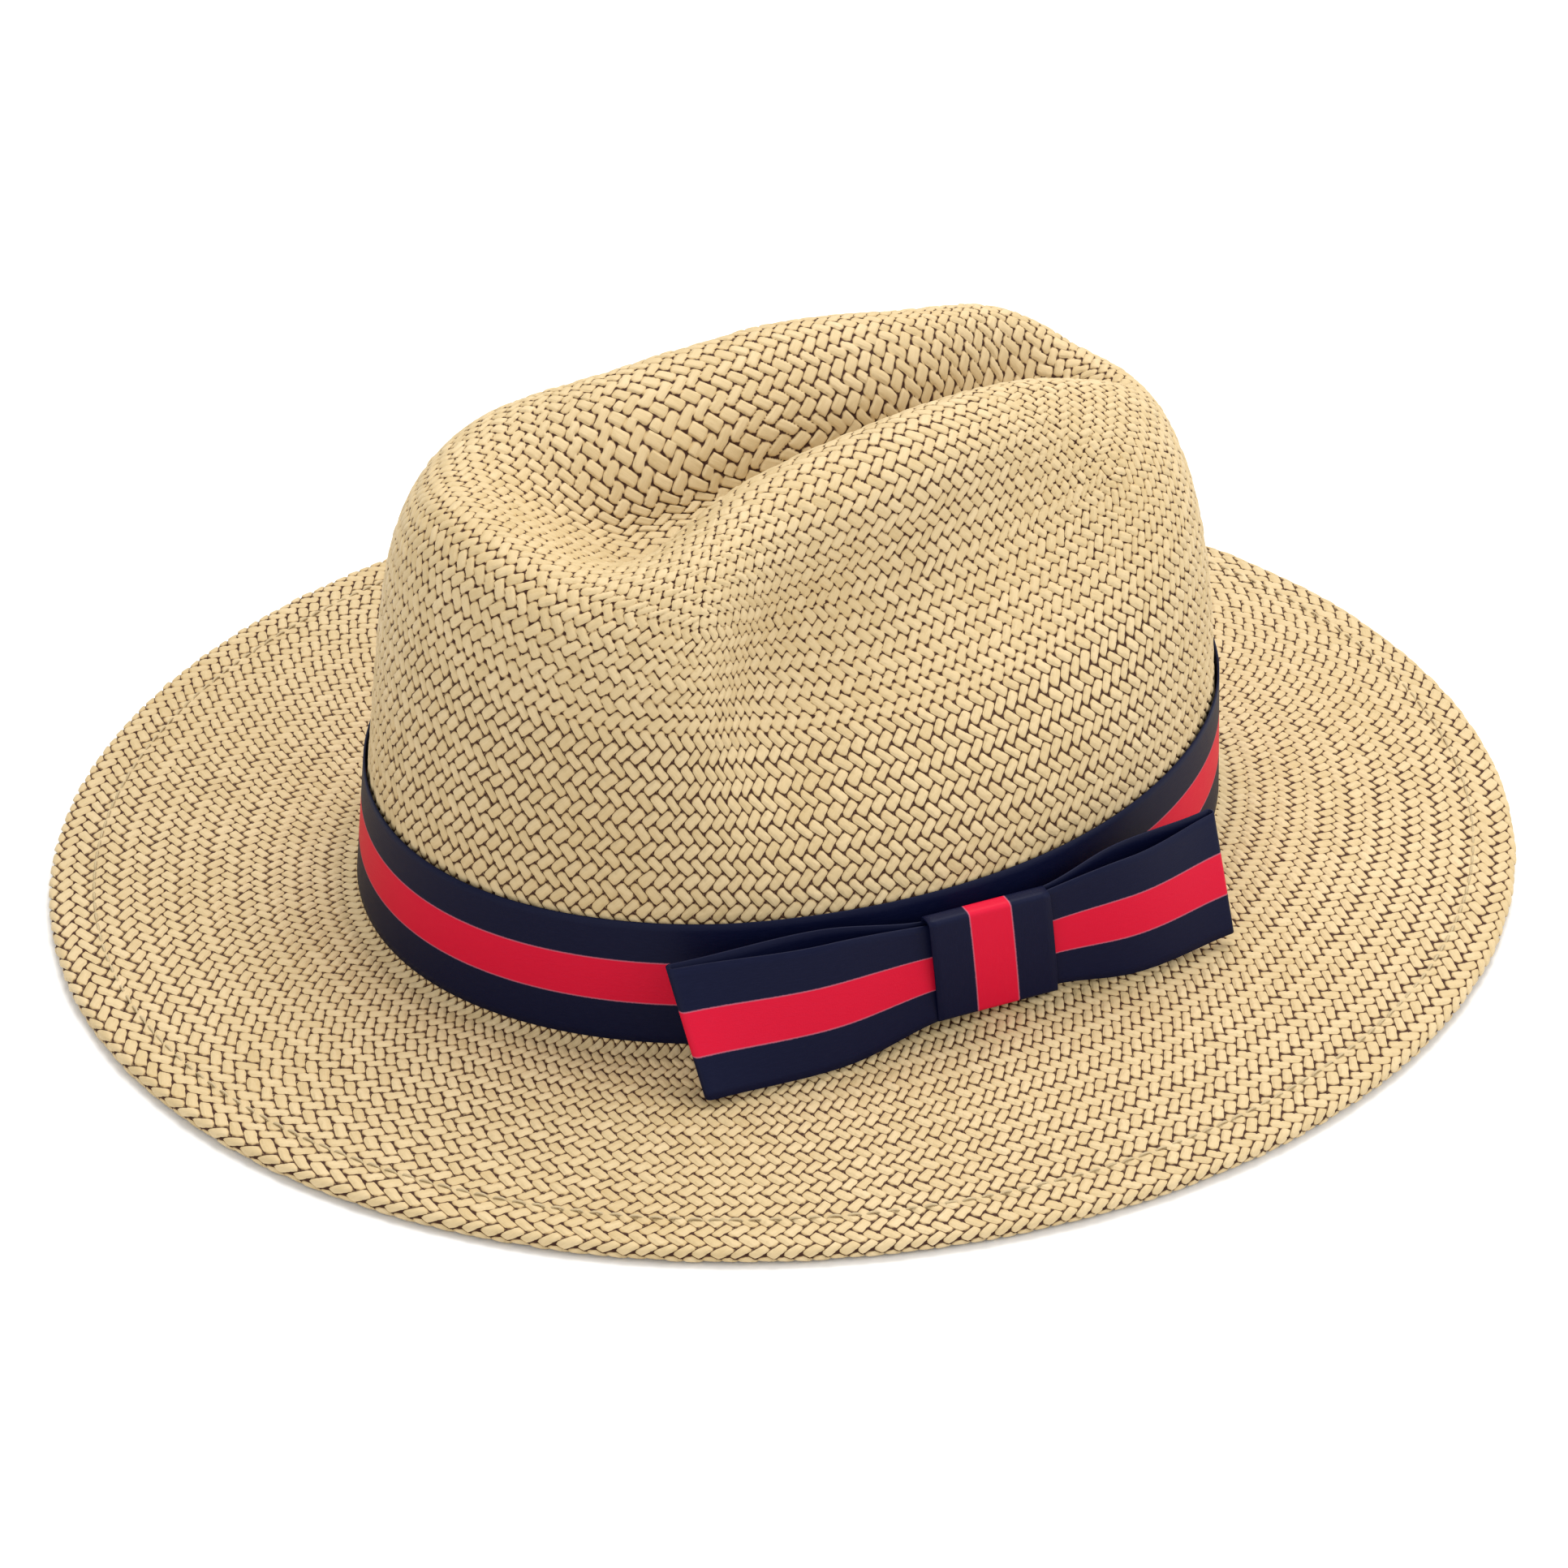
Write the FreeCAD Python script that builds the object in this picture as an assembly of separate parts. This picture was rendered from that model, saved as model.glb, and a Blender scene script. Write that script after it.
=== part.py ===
import FreeCAD, Part
import math
import os

# Wide-brimmed straw hat with a pinched, creased crown and a striped ribbon band.
# The front of the hat is -Y, the wearer's left (the bow side) is +X, +Z is up.
# The hat stands on the lower face of its brim's hem, which is Z = 0.  All sizes in mm.

os.makedirs("parts", exist_ok=True)

# ---- driving dimensions --------------------------------------------------------------
HEAD_HALF_LENGTH = 101.0      # outside of the straw at the foot of the crown
HEAD_HALF_WIDTH = 83.0
EGG = 0.035                   # the head oval is this much wider at the back
BRIM_WIDTH = 69.0
STRAW = 1.1                   # thickness of one layer of plaited straw
EDGE_HEIGHT = 4.0             # top of the brim's edge above the ground
FOOT_HEIGHT = 9.2             # foot of the crown above the ground, at the middle
FOOT_LEAN = 0.047             # the foot rises towards the back, as slope
FOOT_RADIUS = 3.0             # rounding between the brim and the crown

CROWN_HEIGHT = 110.0          # before the crown is dented
CROWN_LEAN = 0.027            # the crown is higher at the front
RIDGE_RISE = 4.0              # the two ridges bow up in the middle by this much
RIDGE_SPREAD = 36.0
TAPER, TAPER_SIDE = 0.060, 0.072
SQUARE_SIDE, SQUARE_FRONT, SQUARE_BACK = 3.4, 7.8, 4.6

DENT_DEPTH = 28.0             # the teardrop down the middle of the crown
DENT_HALF_WIDTH = 24.0
DENT_NARROWS = 0.12           # the teardrop gets narrower towards the back
DENT_TURN = 0.019
DENT_FRONT, DENT_BACK = -92.8, 90.0
DENT_RAMP_FRONT, DENT_RAMP_BACK = 54.0, 29.0
DENT_SQUARENESS = 3.0         # how steep the teardrop's sides are
DENT_FADES, DENT_FULL = 0.45, 0.85    # shares of the crown's height

PINCH_DEPTH = 11.0            # the two hollows for finger and thumb
PINCH_Y, PINCH_HEIGHT = -23.2, 95.3
PINCH_FRONT, PINCH_BACK, PINCH_TALL = 27.7, 73.0, 28.6
PINCH_CLEAR = 30.0            # the pinches fade out this close to the middle line
HOLLOW_DEPTH = 20.0           # a sharper hollow under each ridge, where the crown is gripped
HOLLOW_Y, HOLLOW_HEIGHT, HOLLOW_CLIMB = -12.0, 76.0, 0.2
HOLLOW_FRONT, HOLLOW_BACK, HOLLOW_TALL = 40.0, 66.0, 22.0
HOLLOW_SQUARENESS = 5.0       # how sharply the hollow begins at the front

HEM_WIDTH = 11.5              # the brim's edge turned under
HEM_GAP_AT_STITCH = 0.35
WIRE_RADIUS = 0.6
WIRE_CLEARANCE = 0.3

RIBBON_WIDTH = 29.0
RIBBON = 0.5
RIBBON_CLEARANCE = 0.35
BAND_RISE = 1.2               # lower edge of the band above the brim

SWEATBAND_HEIGHT = 33.0
SWEATBAND = 0.9
SWEATBAND_CLEARANCE = 0.4
SWEATBAND_RISE = 1.0          # lower edge of the sweatband above the foot
SWEATBAND_STITCH_HEIGHT = 4.0

TAG_WIDTH, TAG_HEIGHT, TAG = 22.0, 15.0, 0.4
TAG_MIDDLE_HEIGHT = 16.0
TAG_STANDS_OFF = 2.6

BOW_FRONT = FreeCAD.Vector(75.0, -73.2, 0.0)       # where the front loop ends
BOW_MIDDLE = FreeCAD.Vector(86.6, -5.0, 0.0)       # under the keeper
BOW_BACK = FreeCAD.Vector(89.0, 53.7, 0.0)         # where the back loop ends
BOW_HEIGHT = 15.0                                  # middle of the ribbon above the foot
BOW_FLARE_FRONT, BOW_FLARE_BACK = 6.4, 3.6         # the lower edge stands out by this much
BOW_LEAN, BOW_LEAN_CHANGE = 1.7, 0.65              # the lower edge is set back towards the rear
LOOP_PUFF, LOOP_END, LOOP_WAIST = 2.6, 0.7, 0.6    # half the gap between the two layers
WAIST = 0.84                                       # the keeper gathers the ribbon to this width
KEEPER_WIDTH = 29.0
KEEPER_CLEARANCE = 0.35
LOOP_STEPS = 28

THREAD_RADIUS = 0.3
THREAD_CLEARANCE = 0.3
STITCH_FROM_HEM_END = 1.5
GRID_AROUND = 72
OVERLAP = 5
SEWING = 1e-4
SKIN_ROWS_PER_FACE = 8


# ---- the surface of the straw ----------------------------------------------------------
def smooth(t):
    """Eased step from 0 to 1."""
    t = min(max(t, 0.0), 1.0)
    return t * t * (3.0 - 2.0 * t)


def oval(angle, grow=0.0):
    """Point on the head oval, moved outwards by grow."""
    c, s = math.cos(angle), math.sin(angle)
    half_width = HEAD_HALF_WIDTH * (1.0 + EGG * s)
    tangent_x = -half_width * s + HEAD_HALF_WIDTH * EGG * c * c
    tangent_y = HEAD_HALF_LENGTH * c
    length = math.hypot(tangent_x, tangent_y)
    x = half_width * c + grow * tangent_y / length
    y = HEAD_HALF_LENGTH * s - grow * tangent_x / length
    return x, y


def foot_height(y):
    return FOOT_HEIGHT + FOOT_LEAN * y


def dented(x, y, z, height):
    """Push the teardrop into the top and the two pinches into the front corners."""
    half_width = DENT_HALF_WIDTH - DENT_NARROWS * y
    along = smooth((y - DENT_FRONT) / DENT_RAMP_FRONT) * smooth((DENT_BACK - y) / DENT_RAMP_BACK)
    across = math.exp(-(abs(x + DENT_TURN * y) / half_width) ** DENT_SQUARENESS)
    z -= DENT_DEPTH * across * along * smooth((height - DENT_FADES) / (DENT_FULL - DENT_FADES))
    length = PINCH_FRONT if y < PINCH_Y else PINCH_BACK
    side = 1.0 if x > 0 else -1.0
    reach = math.exp(-((y - PINCH_Y) / length) ** 2 - ((z - PINCH_HEIGHT) / PINCH_TALL) ** 2)
    x -= side * PINCH_DEPTH * reach * smooth(abs(x) / PINCH_CLEAR)
    length = HOLLOW_FRONT if y < HOLLOW_Y else HOLLOW_BACK
    below = (z - HOLLOW_HEIGHT - HOLLOW_CLIMB * (y - HOLLOW_Y)) / HOLLOW_TALL
    reach = math.exp(-abs((y - HOLLOW_Y) / length) ** HOLLOW_SQUARENESS - below ** 2)
    x -= side * HOLLOW_DEPTH * reach * smooth(abs(x) / PINCH_CLEAR)
    return x, y, z


def crown_point(angle, t):
    """Outside of the crown; t runs from 0 at the middle of the top to 1 at the foot."""
    s = math.sin(angle)
    square = SQUARE_SIDE
    if s > 0:
        square += (SQUARE_BACK - SQUARE_SIDE) * s * s
    else:
        square += (SQUARE_FRONT - SQUARE_SIDE) * s * s
    out = math.sin(t * math.pi / 2.0) ** (2.0 / square)
    height = math.cos(t * math.pi / 2.0) ** (2.0 / square) if t < 1.0 else 0.0
    narrowing = 1.0 - (TAPER + TAPER_SIDE * (1.0 - s * s)) * height
    x, y = oval(angle)
    x, y = x * out * narrowing, y * out * narrowing
    z = CROWN_HEIGHT * height * (1.0 - CROWN_LEAN * y / 100.0)
    z += RIDGE_RISE * height * math.exp(-(y / RIDGE_SPREAD) ** 2)
    x, y, z = dented(x, y, z, height)
    return FreeCAD.Vector(x, y, z + foot_height(y))


def brim_point(angle, grow):
    """Top of the brim at a distance grow out from the crown."""
    x, y = oval(angle, grow)
    foot_y = oval(angle)[1]
    foot = foot_height(foot_y)
    across = max(grow, 0.0) / BRIM_WIDTH
    return FreeCAD.Vector(x, y, foot + (EDGE_HEIGHT - foot) * across ** 1.2)


ANGLES = [math.radians(90.0) + 2.0 * math.pi * i / GRID_AROUND for i in range(GRID_AROUND)]


def even_steps(angle, top, bottom, count):
    """Values of t that are evenly spaced along the crown's profile."""
    fine = [top + (bottom - top) * i / 300.0 for i in range(301)]
    points = [crown_point(angle, t) for t in fine]
    run = [0.0]
    for a, b in zip(points, points[1:]):
        run.append(run[-1] + a.distanceToPoint(b))
    steps = []
    k = 0
    for i in range(count + 1):
        want = run[-1] * i / count
        while k < 299 and run[k + 1] < want:
            k += 1
        steps.append(fine[k] + (fine[k + 1] - fine[k]) * (want - run[k]) / (run[k + 1] - run[k]))
    return steps


def wall_top(angle, height):
    """Value of t at which the crown's wall is height above the foot."""
    low, high = 0.3, 1.0
    for _ in range(40):
        middle = 0.5 * (low + high)
        point = crown_point(angle, middle)
        if point.z - foot_height(point.y) > height:
            low = middle
        else:
            high = middle
    return 0.5 * (low + high)


def wall_point(angle, height, out):
    """Point outside (out > 0) or inside the crown's wall, height above the foot."""
    point = crown_point(angle, wall_top(angle, height))
    x, y = oval(angle)
    ahead, behind = oval(angle + 0.01), oval(angle - 0.01)
    normal = FreeCAD.Vector(ahead[1] - behind[1], behind[0] - ahead[0], 0.0)
    normal.normalize()
    return point + normal * out


def top_profile(angle):
    """Top of the straw from the middle of the crown to the start of the edge's fold."""
    t_foot = wall_top(angle, FOOT_RADIUS)
    points = [crown_point(angle, t) for t in even_steps(angle, 0.0, t_foot, 34)]
    for k in range(1, 5):
        turn = math.pi + k * math.pi / 8.0
        grow = FOOT_RADIUS * (1.0 + math.cos(turn))
        x, y = oval(angle, grow)
        base = brim_point(angle, grow).z
        points.append(FreeCAD.Vector(x, y, base + FOOT_RADIUS * (1.0 + math.sin(turn))))
    for k in range(1, 12):
        grow = FOOT_RADIUS + (BRIM_WIDTH - 3.0 - FOOT_RADIUS) * k / 11.0
        points.append(brim_point(angle, grow))
    return points


def lowered(rows):
    """The lower or inner face of one layer of straw: every point moved in by its thickness."""
    result = []
    count_around = len(rows[0])
    for r, row in enumerate(rows):
        moved = []
        for c, point in enumerate(row):
            if r <= 2:
                normal = FreeCAD.Vector(0, 0, 1)
            else:
                around = row[(c + 1) % count_around] - row[c - 1]
                last = min(r + 1, len(rows) - 1)
                along = rows[last][c] - rows[r - 1][c]
                normal = along.cross(around)
                normal.normalize()
            moved.append(point - normal * STRAW)
        result.append(moved)
    return result


def edge_section(angle):
    """Section of the folded edge: out round the fold, in along the hem, back inside it."""
    inner = WIRE_RADIUS + WIRE_CLEARANCE
    outer = inner + STRAW
    centre_grow = BRIM_WIDTH - outer
    centre_z = EDGE_HEIGHT - outer
    section = []
    for k in range(1, 8):
        turn = math.pi / 2.0 - k * math.pi / 8.0
        section.append((centre_grow + outer * math.cos(turn), centre_z + outer * math.sin(turn)))
    bottom = centre_z - outer
    hem_end = BRIM_WIDTH - HEM_WIDTH
    section.append((centre_grow, bottom))
    pressed = EDGE_HEIGHT - 2.0 * STRAW - HEM_GAP_AT_STITCH
    for k in range(1, 6):
        f = k / 5.0
        section.append((centre_grow + (hem_end - centre_grow) * f,
                        bottom + (pressed - bottom) * smooth(f)))
    for turn in (-120.0, -160.0, -200.0, -240.0):
        section.append((hem_end + 0.5 * STRAW * math.cos(math.radians(turn)) - 0.4,
                        pressed + 0.5 * STRAW + 0.5 * STRAW * math.sin(math.radians(turn))))
    for k in range(5, 0, -1):
        f = k / 5.0
        section.append((centre_grow + (hem_end - centre_grow) * f,
                        bottom + STRAW + (pressed - bottom) * smooth(f)))
    for k in range(0, 9):
        turn = -math.pi / 2.0 + k * math.pi / 8.0
        section.append((centre_grow + inner * math.cos(turn), centre_z + inner * math.sin(turn)))
    points = []
    for grow, z in section:
        x, y = oval(angle, grow)
        lift = brim_point(angle, min(grow, BRIM_WIDTH)).z - EDGE_HEIGHT
        points.append(FreeCAD.Vector(x, y, z + max(0.0, lift)))
    return points


def closed_skin(rows):
    """Smooth skin over rows of points that run round the hat, from pole to pole.

    The rows overlap themselves by a few points, so the skin has no crease where it closes.
    """
    surface = Part.BSplineSurface()
    surface.interpolate([row[-OVERLAP:] + row + row[:OVERLAP + 1] for row in rows])
    for end, pole in ((1, rows[0][0]), (surface.NbUPoles, rows[-1][0])):
        surface.setPoleRow(end, [pole] * surface.NbVPoles)
    across = surface.getUKnots()[::SKIN_ROWS_PER_FACE]
    if across[-1] != surface.getUKnots()[-1]:
        across.append(surface.getUKnots()[-1])
    around = surface.getVKnots()[OVERLAP:OVERLAP + GRID_AROUND + 1:GRID_AROUND // 4]
    faces = []
    for u, next_u in zip(across, across[1:]):
        for v, next_v in zip(around, around[1:]):
            piece = surface.copy()
            piece.segment(u, next_u, v, next_v)
            faces.append(piece.toShape())
    return faces


def solid_from(faces):
    """Sew faces that meet edge to edge into one solid with its skin facing out."""
    sewn = Part.makeCompound(faces)
    sewn.sewShape(SEWING)
    shell = sewn.Shells[0]
    solid = Part.Solid(shell)
    if solid.Volume < 0:
        solid = Part.Solid(shell.reversed())
    return solid


profiles = [top_profile(a) for a in ANGLES]
top_rows = [list(row) for row in zip(*profiles)]
edge_rows = [list(row) for row in zip(*[edge_section(a) for a in ANGLES])]
under_rows = lowered(top_rows)
under_rows.reverse()

straw_body = solid_from(closed_skin(top_rows + edge_rows + under_rows))


# ---- helpers for the trimmings -----------------------------------------------------------
def closed_curve(points, guide):
    """Smooth closed curve through the points, paced by the distances along the guide."""
    pace = [0.0]
    for a, b in zip(guide, guide[1:] + guide[:1]):
        pace.append(pace[-1] + a.distanceToPoint(b))
    curve = Part.BSplineCurve()
    curve.interpolate(Points=points, Parameters=pace, PeriodicFlag=True)
    return curve


def strip_ring(corners):
    """Solid ring from the closed curves along the corners of its section."""
    curves = [closed_curve(points, corners[0]) for points in corners]
    faces = []
    for a, b in zip(curves, curves[1:] + curves[:1]):
        strip = Part.BSplineSurface()
        strip.buildFromPolesMultsKnots([a.getPoles(), b.getPoles()], [2, 2], a.getMultiplicities(),
                                       [0.0, 1.0], a.getKnots(), False, True, 1, a.Degree)
        knots = a.getKnots()
        cuts = [knots[len(knots) * k // 8] for k in range(8)] + [knots[-1]]
        for v, next_v in zip(cuts, cuts[1:]):
            faces.append(strip.toShape(0.0, 1.0, v, next_v))
    return solid_from(faces)


def wall_ring(low, high, inner, outer):
    """Ring of ribbon against the crown's wall, between two heights and two offsets."""
    middle = 0.5 * (low + high)
    corners = []
    for height, out in ((low, outer), (middle, outer), (high, outer),
                        (high, inner), (middle, inner), (low, inner)):
        corners.append([wall_point(angle, height, out) for angle in ANGLES])
    return strip_ring(corners)


def thread_ring(points, radius):
    """Thread or wire closed on itself through the given points, with an eight-sided section."""
    sides = 8
    corners = [[] for _ in range(sides)]
    for k, point in enumerate(points):
        tangent = points[(k + 1) % len(points)] - points[k - 1]
        level = FreeCAD.Vector(tangent.y, -tangent.x, 0.0)
        level.normalize()
        for side in range(sides):
            turn = 2.0 * math.pi * side / sides
            lift = FreeCAD.Vector(0, 0, radius * math.sin(turn))
            corner = point + level * (radius * math.cos(turn)) + lift
            corners[side].append(corner)
    return strip_ring(corners)


def report(name, shape):
    shape.exportStep("parts/" + name + ".step")
    print(name, "valid", shape.isValid(), "volume", round(shape.Volume, 1), "solids", len(shape.Solids))


report("straw_body", straw_body)

# ---- brim wire and hem stitching ----------------------------------------------------------
wire_grow = BRIM_WIDTH - (WIRE_RADIUS + WIRE_CLEARANCE + STRAW)
wire_path = []
for angle in ANGLES:
    x, y = oval(angle, wire_grow)
    z = brim_point(angle, wire_grow).z - (WIRE_RADIUS + WIRE_CLEARANCE + STRAW)
    wire_path.append(FreeCAD.Vector(x, y, z))
report("brim_wire", thread_ring(wire_path, WIRE_RADIUS))

stitch_grow = BRIM_WIDTH - HEM_WIDTH + STITCH_FROM_HEM_END
stitch_path = []
for angle in ANGLES:
    point = brim_point(angle, stitch_grow)
    stitch_path.append(point + FreeCAD.Vector(0, 0, THREAD_RADIUS + THREAD_CLEARANCE))
report("hem_stitching", thread_ring(stitch_path, THREAD_RADIUS))

# ---- ribbon band ---------------------------------------------------------------------------
band_inner = RIBBON_CLEARANCE
band_outer = RIBBON_CLEARANCE + RIBBON
hat_band = wall_ring(BAND_RISE, BAND_RISE + RIBBON_WIDTH, band_inner, band_outer)
report("hat_band", hat_band)

# ---- sweatband, its stitching and the blank size tag ------------------------------------------
sweat_outer = -(STRAW + SWEATBAND_CLEARANCE)
sweat_inner = sweat_outer - SWEATBAND
sweatband = wall_ring(SWEATBAND_RISE, SWEATBAND_RISE + SWEATBAND_HEIGHT, sweat_inner, sweat_outer)
report("sweatband", sweatband)

sweat_stitch_out = sweat_inner - THREAD_CLEARANCE - THREAD_RADIUS
sweat_stitch_path = [wall_point(angle, SWEATBAND_STITCH_HEIGHT, sweat_stitch_out) for angle in ANGLES]
report("sweatband_stitching", thread_ring(sweat_stitch_path, THREAD_RADIUS))

back = wall_point(math.radians(90.0), TAG_MIDDLE_HEIGHT, sweat_inner)
size_tag = Part.makeBox(TAG_WIDTH, TAG, TAG_HEIGHT)
size_tag.translate(FreeCAD.Vector(-TAG_WIDTH / 2.0, back.y - TAG_STANDS_OFF, back.z - TAG_HEIGHT / 2.0))
report("size_tag", size_tag)

# ---- bow: one ribbon folded into two flat loops, held by the keeper ---------------------------
def bow_line(w):
    """Middle line of the bow; w runs from -1 at the front loop's end to 1 at the back's."""
    a = 0.5 * (BOW_BACK - BOW_FRONT)
    b = 0.5 * (BOW_BACK + BOW_FRONT) - BOW_MIDDLE
    point = BOW_MIDDLE + a * w + b * (w * w)
    tangent = a + b * (2.0 * w)
    tangent.normalize()
    return point, tangent, FreeCAD.Vector(tangent.y, -tangent.x, 0.0)


def loop_gap(w):
    run = smooth((abs(w) - 0.22) / 0.38)
    close = smooth((1.0 - abs(w)) / 0.4)
    puffed = LOOP_END + (LOOP_PUFF - LOOP_END) * close
    return LOOP_WAIST + (puffed - LOOP_WAIST) * run


def bow_point(w, out, side):
    """Point of the bow's ribbon: out from its middle line, side -1 lower or 1 upper edge."""
    point, tangent, normal = bow_line(w)
    flare = BOW_FLARE_FRONT if w < 0 else BOW_FLARE_BACK
    flare *= abs(w) ** 1.5
    width = WAIST + (1.0 - WAIST) * smooth((abs(w) - 0.15) / 0.4)
    rise = math.sqrt((0.5 * RIBBON_WIDTH * width) ** 2 - flare ** 2)
    lean = BOW_LEAN - BOW_LEAN_CHANGE * w
    point = point + normal * (out - side * flare) - tangent * (side * lean)
    return FreeCAD.Vector(point.x, point.y, foot_height(point.y) + BOW_HEIGHT + side * rise)


def loop_curve(extra, side):
    """Closed curve round both loops at one edge of the ribbon."""
    points = []
    for k in range(LOOP_STEPS + 1):
        w = -1.0 + 2.0 * k / LOOP_STEPS
        points.append(bow_point(w, loop_gap(w) + extra, side))
    length = (BOW_BACK - BOW_FRONT).Length / 2.0
    radius = LOOP_END + extra
    for turn in (60.0, 30.0, 0.0, -30.0, -60.0):
        over = radius * math.cos(math.radians(turn)) / length
        points.append(bow_point(1.0 + over, radius * math.sin(math.radians(turn)), side))
    for k in range(LOOP_STEPS + 1):
        w = 1.0 - 2.0 * k / LOOP_STEPS
        points.append(bow_point(w, -loop_gap(w) - extra, side))
    for turn in (-60.0, -30.0, 0.0, 30.0, 60.0):
        over = radius * math.cos(math.radians(turn)) / length
        points.append(bow_point(-1.0 - over, radius * math.sin(math.radians(turn)), side))
    return points


bow_loops = strip_ring([loop_curve(RIBBON, -1), loop_curve(RIBBON, 1),
                        loop_curve(0.0, 1), loop_curve(0.0, -1)])
report("bow_loops", bow_loops)

middle, along, outward = bow_line(0.0)
centre_z = foot_height(middle.y) + BOW_HEIGHT


def keeper_outline(extra):
    """Rounded rectangle round the waist of the bow, leaning with the bow's ends."""
    half_thick = LOOP_WAIST + RIBBON + KEEPER_CLEARANCE + extra
    half_tall = 0.5 * RIBBON_WIDTH * WAIST + 2.0 * KEEPER_CLEARANCE + extra
    radius = RIBBON + extra
    upward = FreeCAD.Vector(0, 0, 1)
    start = FreeCAD.Vector(middle.x, middle.y, centre_z) - along * (KEEPER_WIDTH / 2.0)
    points = []
    for quarter, (a, b) in enumerate(((1, 1), (-1, 1), (-1, -1), (1, -1))):
        for k in range(5):
            turn = math.radians(90.0 * quarter + 22.5 * k)
            out = a * (half_thick - radius) + radius * math.cos(turn)
            up = b * (half_tall - radius) + radius * math.sin(turn)
            lean = along * (BOW_LEAN * up / (0.5 * RIBBON_WIDTH * WAIST))
            points.append(start + outward * out + upward * up - lean)
    return Part.Face(Part.makePolygon(points + [points[0]]))


keeper_face = keeper_outline(RIBBON).cut(keeper_outline(0.0))
bow_keeper = keeper_face.extrude(along * KEEPER_WIDTH)
report("bow_keeper", bow_keeper.Solids[0])
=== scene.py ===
# %% [markdown]
# # A straw fedora with a striped ribbon
# The real hat is plaited from flat paper strands over a round form, then pressed wet over a
# wooden block, which gives the oval head, the teardrop down the top and the two pinches at the
# front.  A satin ribbon runs round the crown and ends under a flat tailored bow.
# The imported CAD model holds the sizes; this lesson rebuilds the soft pieces over it.

# %% Load the frame
import math
import bpy
import numpy as np
from mathutils import Matrix, Vector


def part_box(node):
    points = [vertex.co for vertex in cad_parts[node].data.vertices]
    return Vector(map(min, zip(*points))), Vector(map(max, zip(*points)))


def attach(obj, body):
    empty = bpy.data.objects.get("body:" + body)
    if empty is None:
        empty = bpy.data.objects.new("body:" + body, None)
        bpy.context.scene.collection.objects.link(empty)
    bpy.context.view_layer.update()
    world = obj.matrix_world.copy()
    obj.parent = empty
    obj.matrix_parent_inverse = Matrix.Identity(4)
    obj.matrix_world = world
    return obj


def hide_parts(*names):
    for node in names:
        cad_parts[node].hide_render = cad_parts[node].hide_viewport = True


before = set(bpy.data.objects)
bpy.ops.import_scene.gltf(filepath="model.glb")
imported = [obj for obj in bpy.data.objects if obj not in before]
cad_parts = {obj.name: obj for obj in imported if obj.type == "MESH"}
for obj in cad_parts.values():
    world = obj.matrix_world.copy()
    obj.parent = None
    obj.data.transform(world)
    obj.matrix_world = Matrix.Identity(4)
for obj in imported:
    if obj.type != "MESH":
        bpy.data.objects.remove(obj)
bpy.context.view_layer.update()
MM = 0.001
print("nodes", sorted(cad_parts))

# %% [markdown]
# ## Camera, floor and light
# The hat is seen from the bow's side and a little from the front, from about a metre and a half
# away, looking down on the brim.  The camera comes first, because every piece is judged from it.

# %% Camera
VIEW_TURN = math.radians(56.0)
VIEW_RISE = math.radians(33.5)
VIEW_ROLL = math.radians(2.1)
VIEW_DISTANCE = 1.41
VIEW_WIDTH = 0.355
AIM_UP, AIM_LEFT = 0.0143, 0.0013
SENSOR_WIDTH = 36.0

toward = Vector((math.sin(VIEW_TURN) * math.cos(VIEW_RISE),
                 -math.cos(VIEW_TURN) * math.cos(VIEW_RISE),
                 math.sin(VIEW_RISE)))
level_right = Vector((math.cos(VIEW_TURN), math.sin(VIEW_TURN), 0.0))
level_up = toward.cross(level_right)
eye = toward * VIEW_DISTANCE
aim = level_up * AIM_UP - level_right * AIM_LEFT
back = (eye - aim).normalized()
side = (level_right * math.cos(VIEW_ROLL) + level_up * math.sin(VIEW_ROLL))
side = (side - back * side.dot(back)).normalized()
up = back.cross(side)

camera_data = bpy.data.cameras.new("camera")
camera_data.sensor_width = SENSOR_WIDTH
camera_data.lens = SENSOR_WIDTH * VIEW_DISTANCE / VIEW_WIDTH
camera_data.clip_start = 0.05
camera_data.clip_end = 20.0
camera = bpy.data.objects.new("camera", camera_data)
camera.matrix_world = Matrix.Translation(eye) @ Matrix((side, up, back)).transposed().to_4x4()
bpy.context.collection.objects.link(camera)
bpy.context.scene.camera = camera
print("camera at", [round(v, 3) for v in eye], "lens", round(camera_data.lens, 1))

# %% [markdown]
# A plain white floor stands in for a white table.  Three big soft lights shine on the hat: one
# overhead and a little behind, one from the right and a weak one from the front.

# %% Floor and lights
FLOOR_HALF, FLOOR_DROP = 3.0, 0.0004
HAT_MIDDLE = Vector((0, 0, 0.05))
STUDIO_STRENGTH = 0.75


def plain_material(name, colour, roughness):
    material = bpy.data.materials.new(name)
    material.use_nodes = True
    shader = material.node_tree.nodes["Principled BSDF"]
    shader.inputs["Base Color"].default_value = (*colour, 1.0)
    shader.inputs["Roughness"].default_value = roughness
    return material


floor_mesh = bpy.data.meshes.new("floor")
floor_mesh.from_pydata([(-FLOOR_HALF, -FLOOR_HALF, 0), (FLOOR_HALF, -FLOOR_HALF, 0),
                        (FLOOR_HALF, FLOOR_HALF, 0), (-FLOOR_HALF, FLOOR_HALF, 0)],
                       [], [(0, 1, 2, 3)])
floor_mesh.materials.append(plain_material("white_table", (0.9, 0.9, 0.9), 0.9))
floor = bpy.data.objects.new("floor", floor_mesh)
floor.location.z = -FLOOR_DROP
bpy.context.collection.objects.link(floor)


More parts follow.
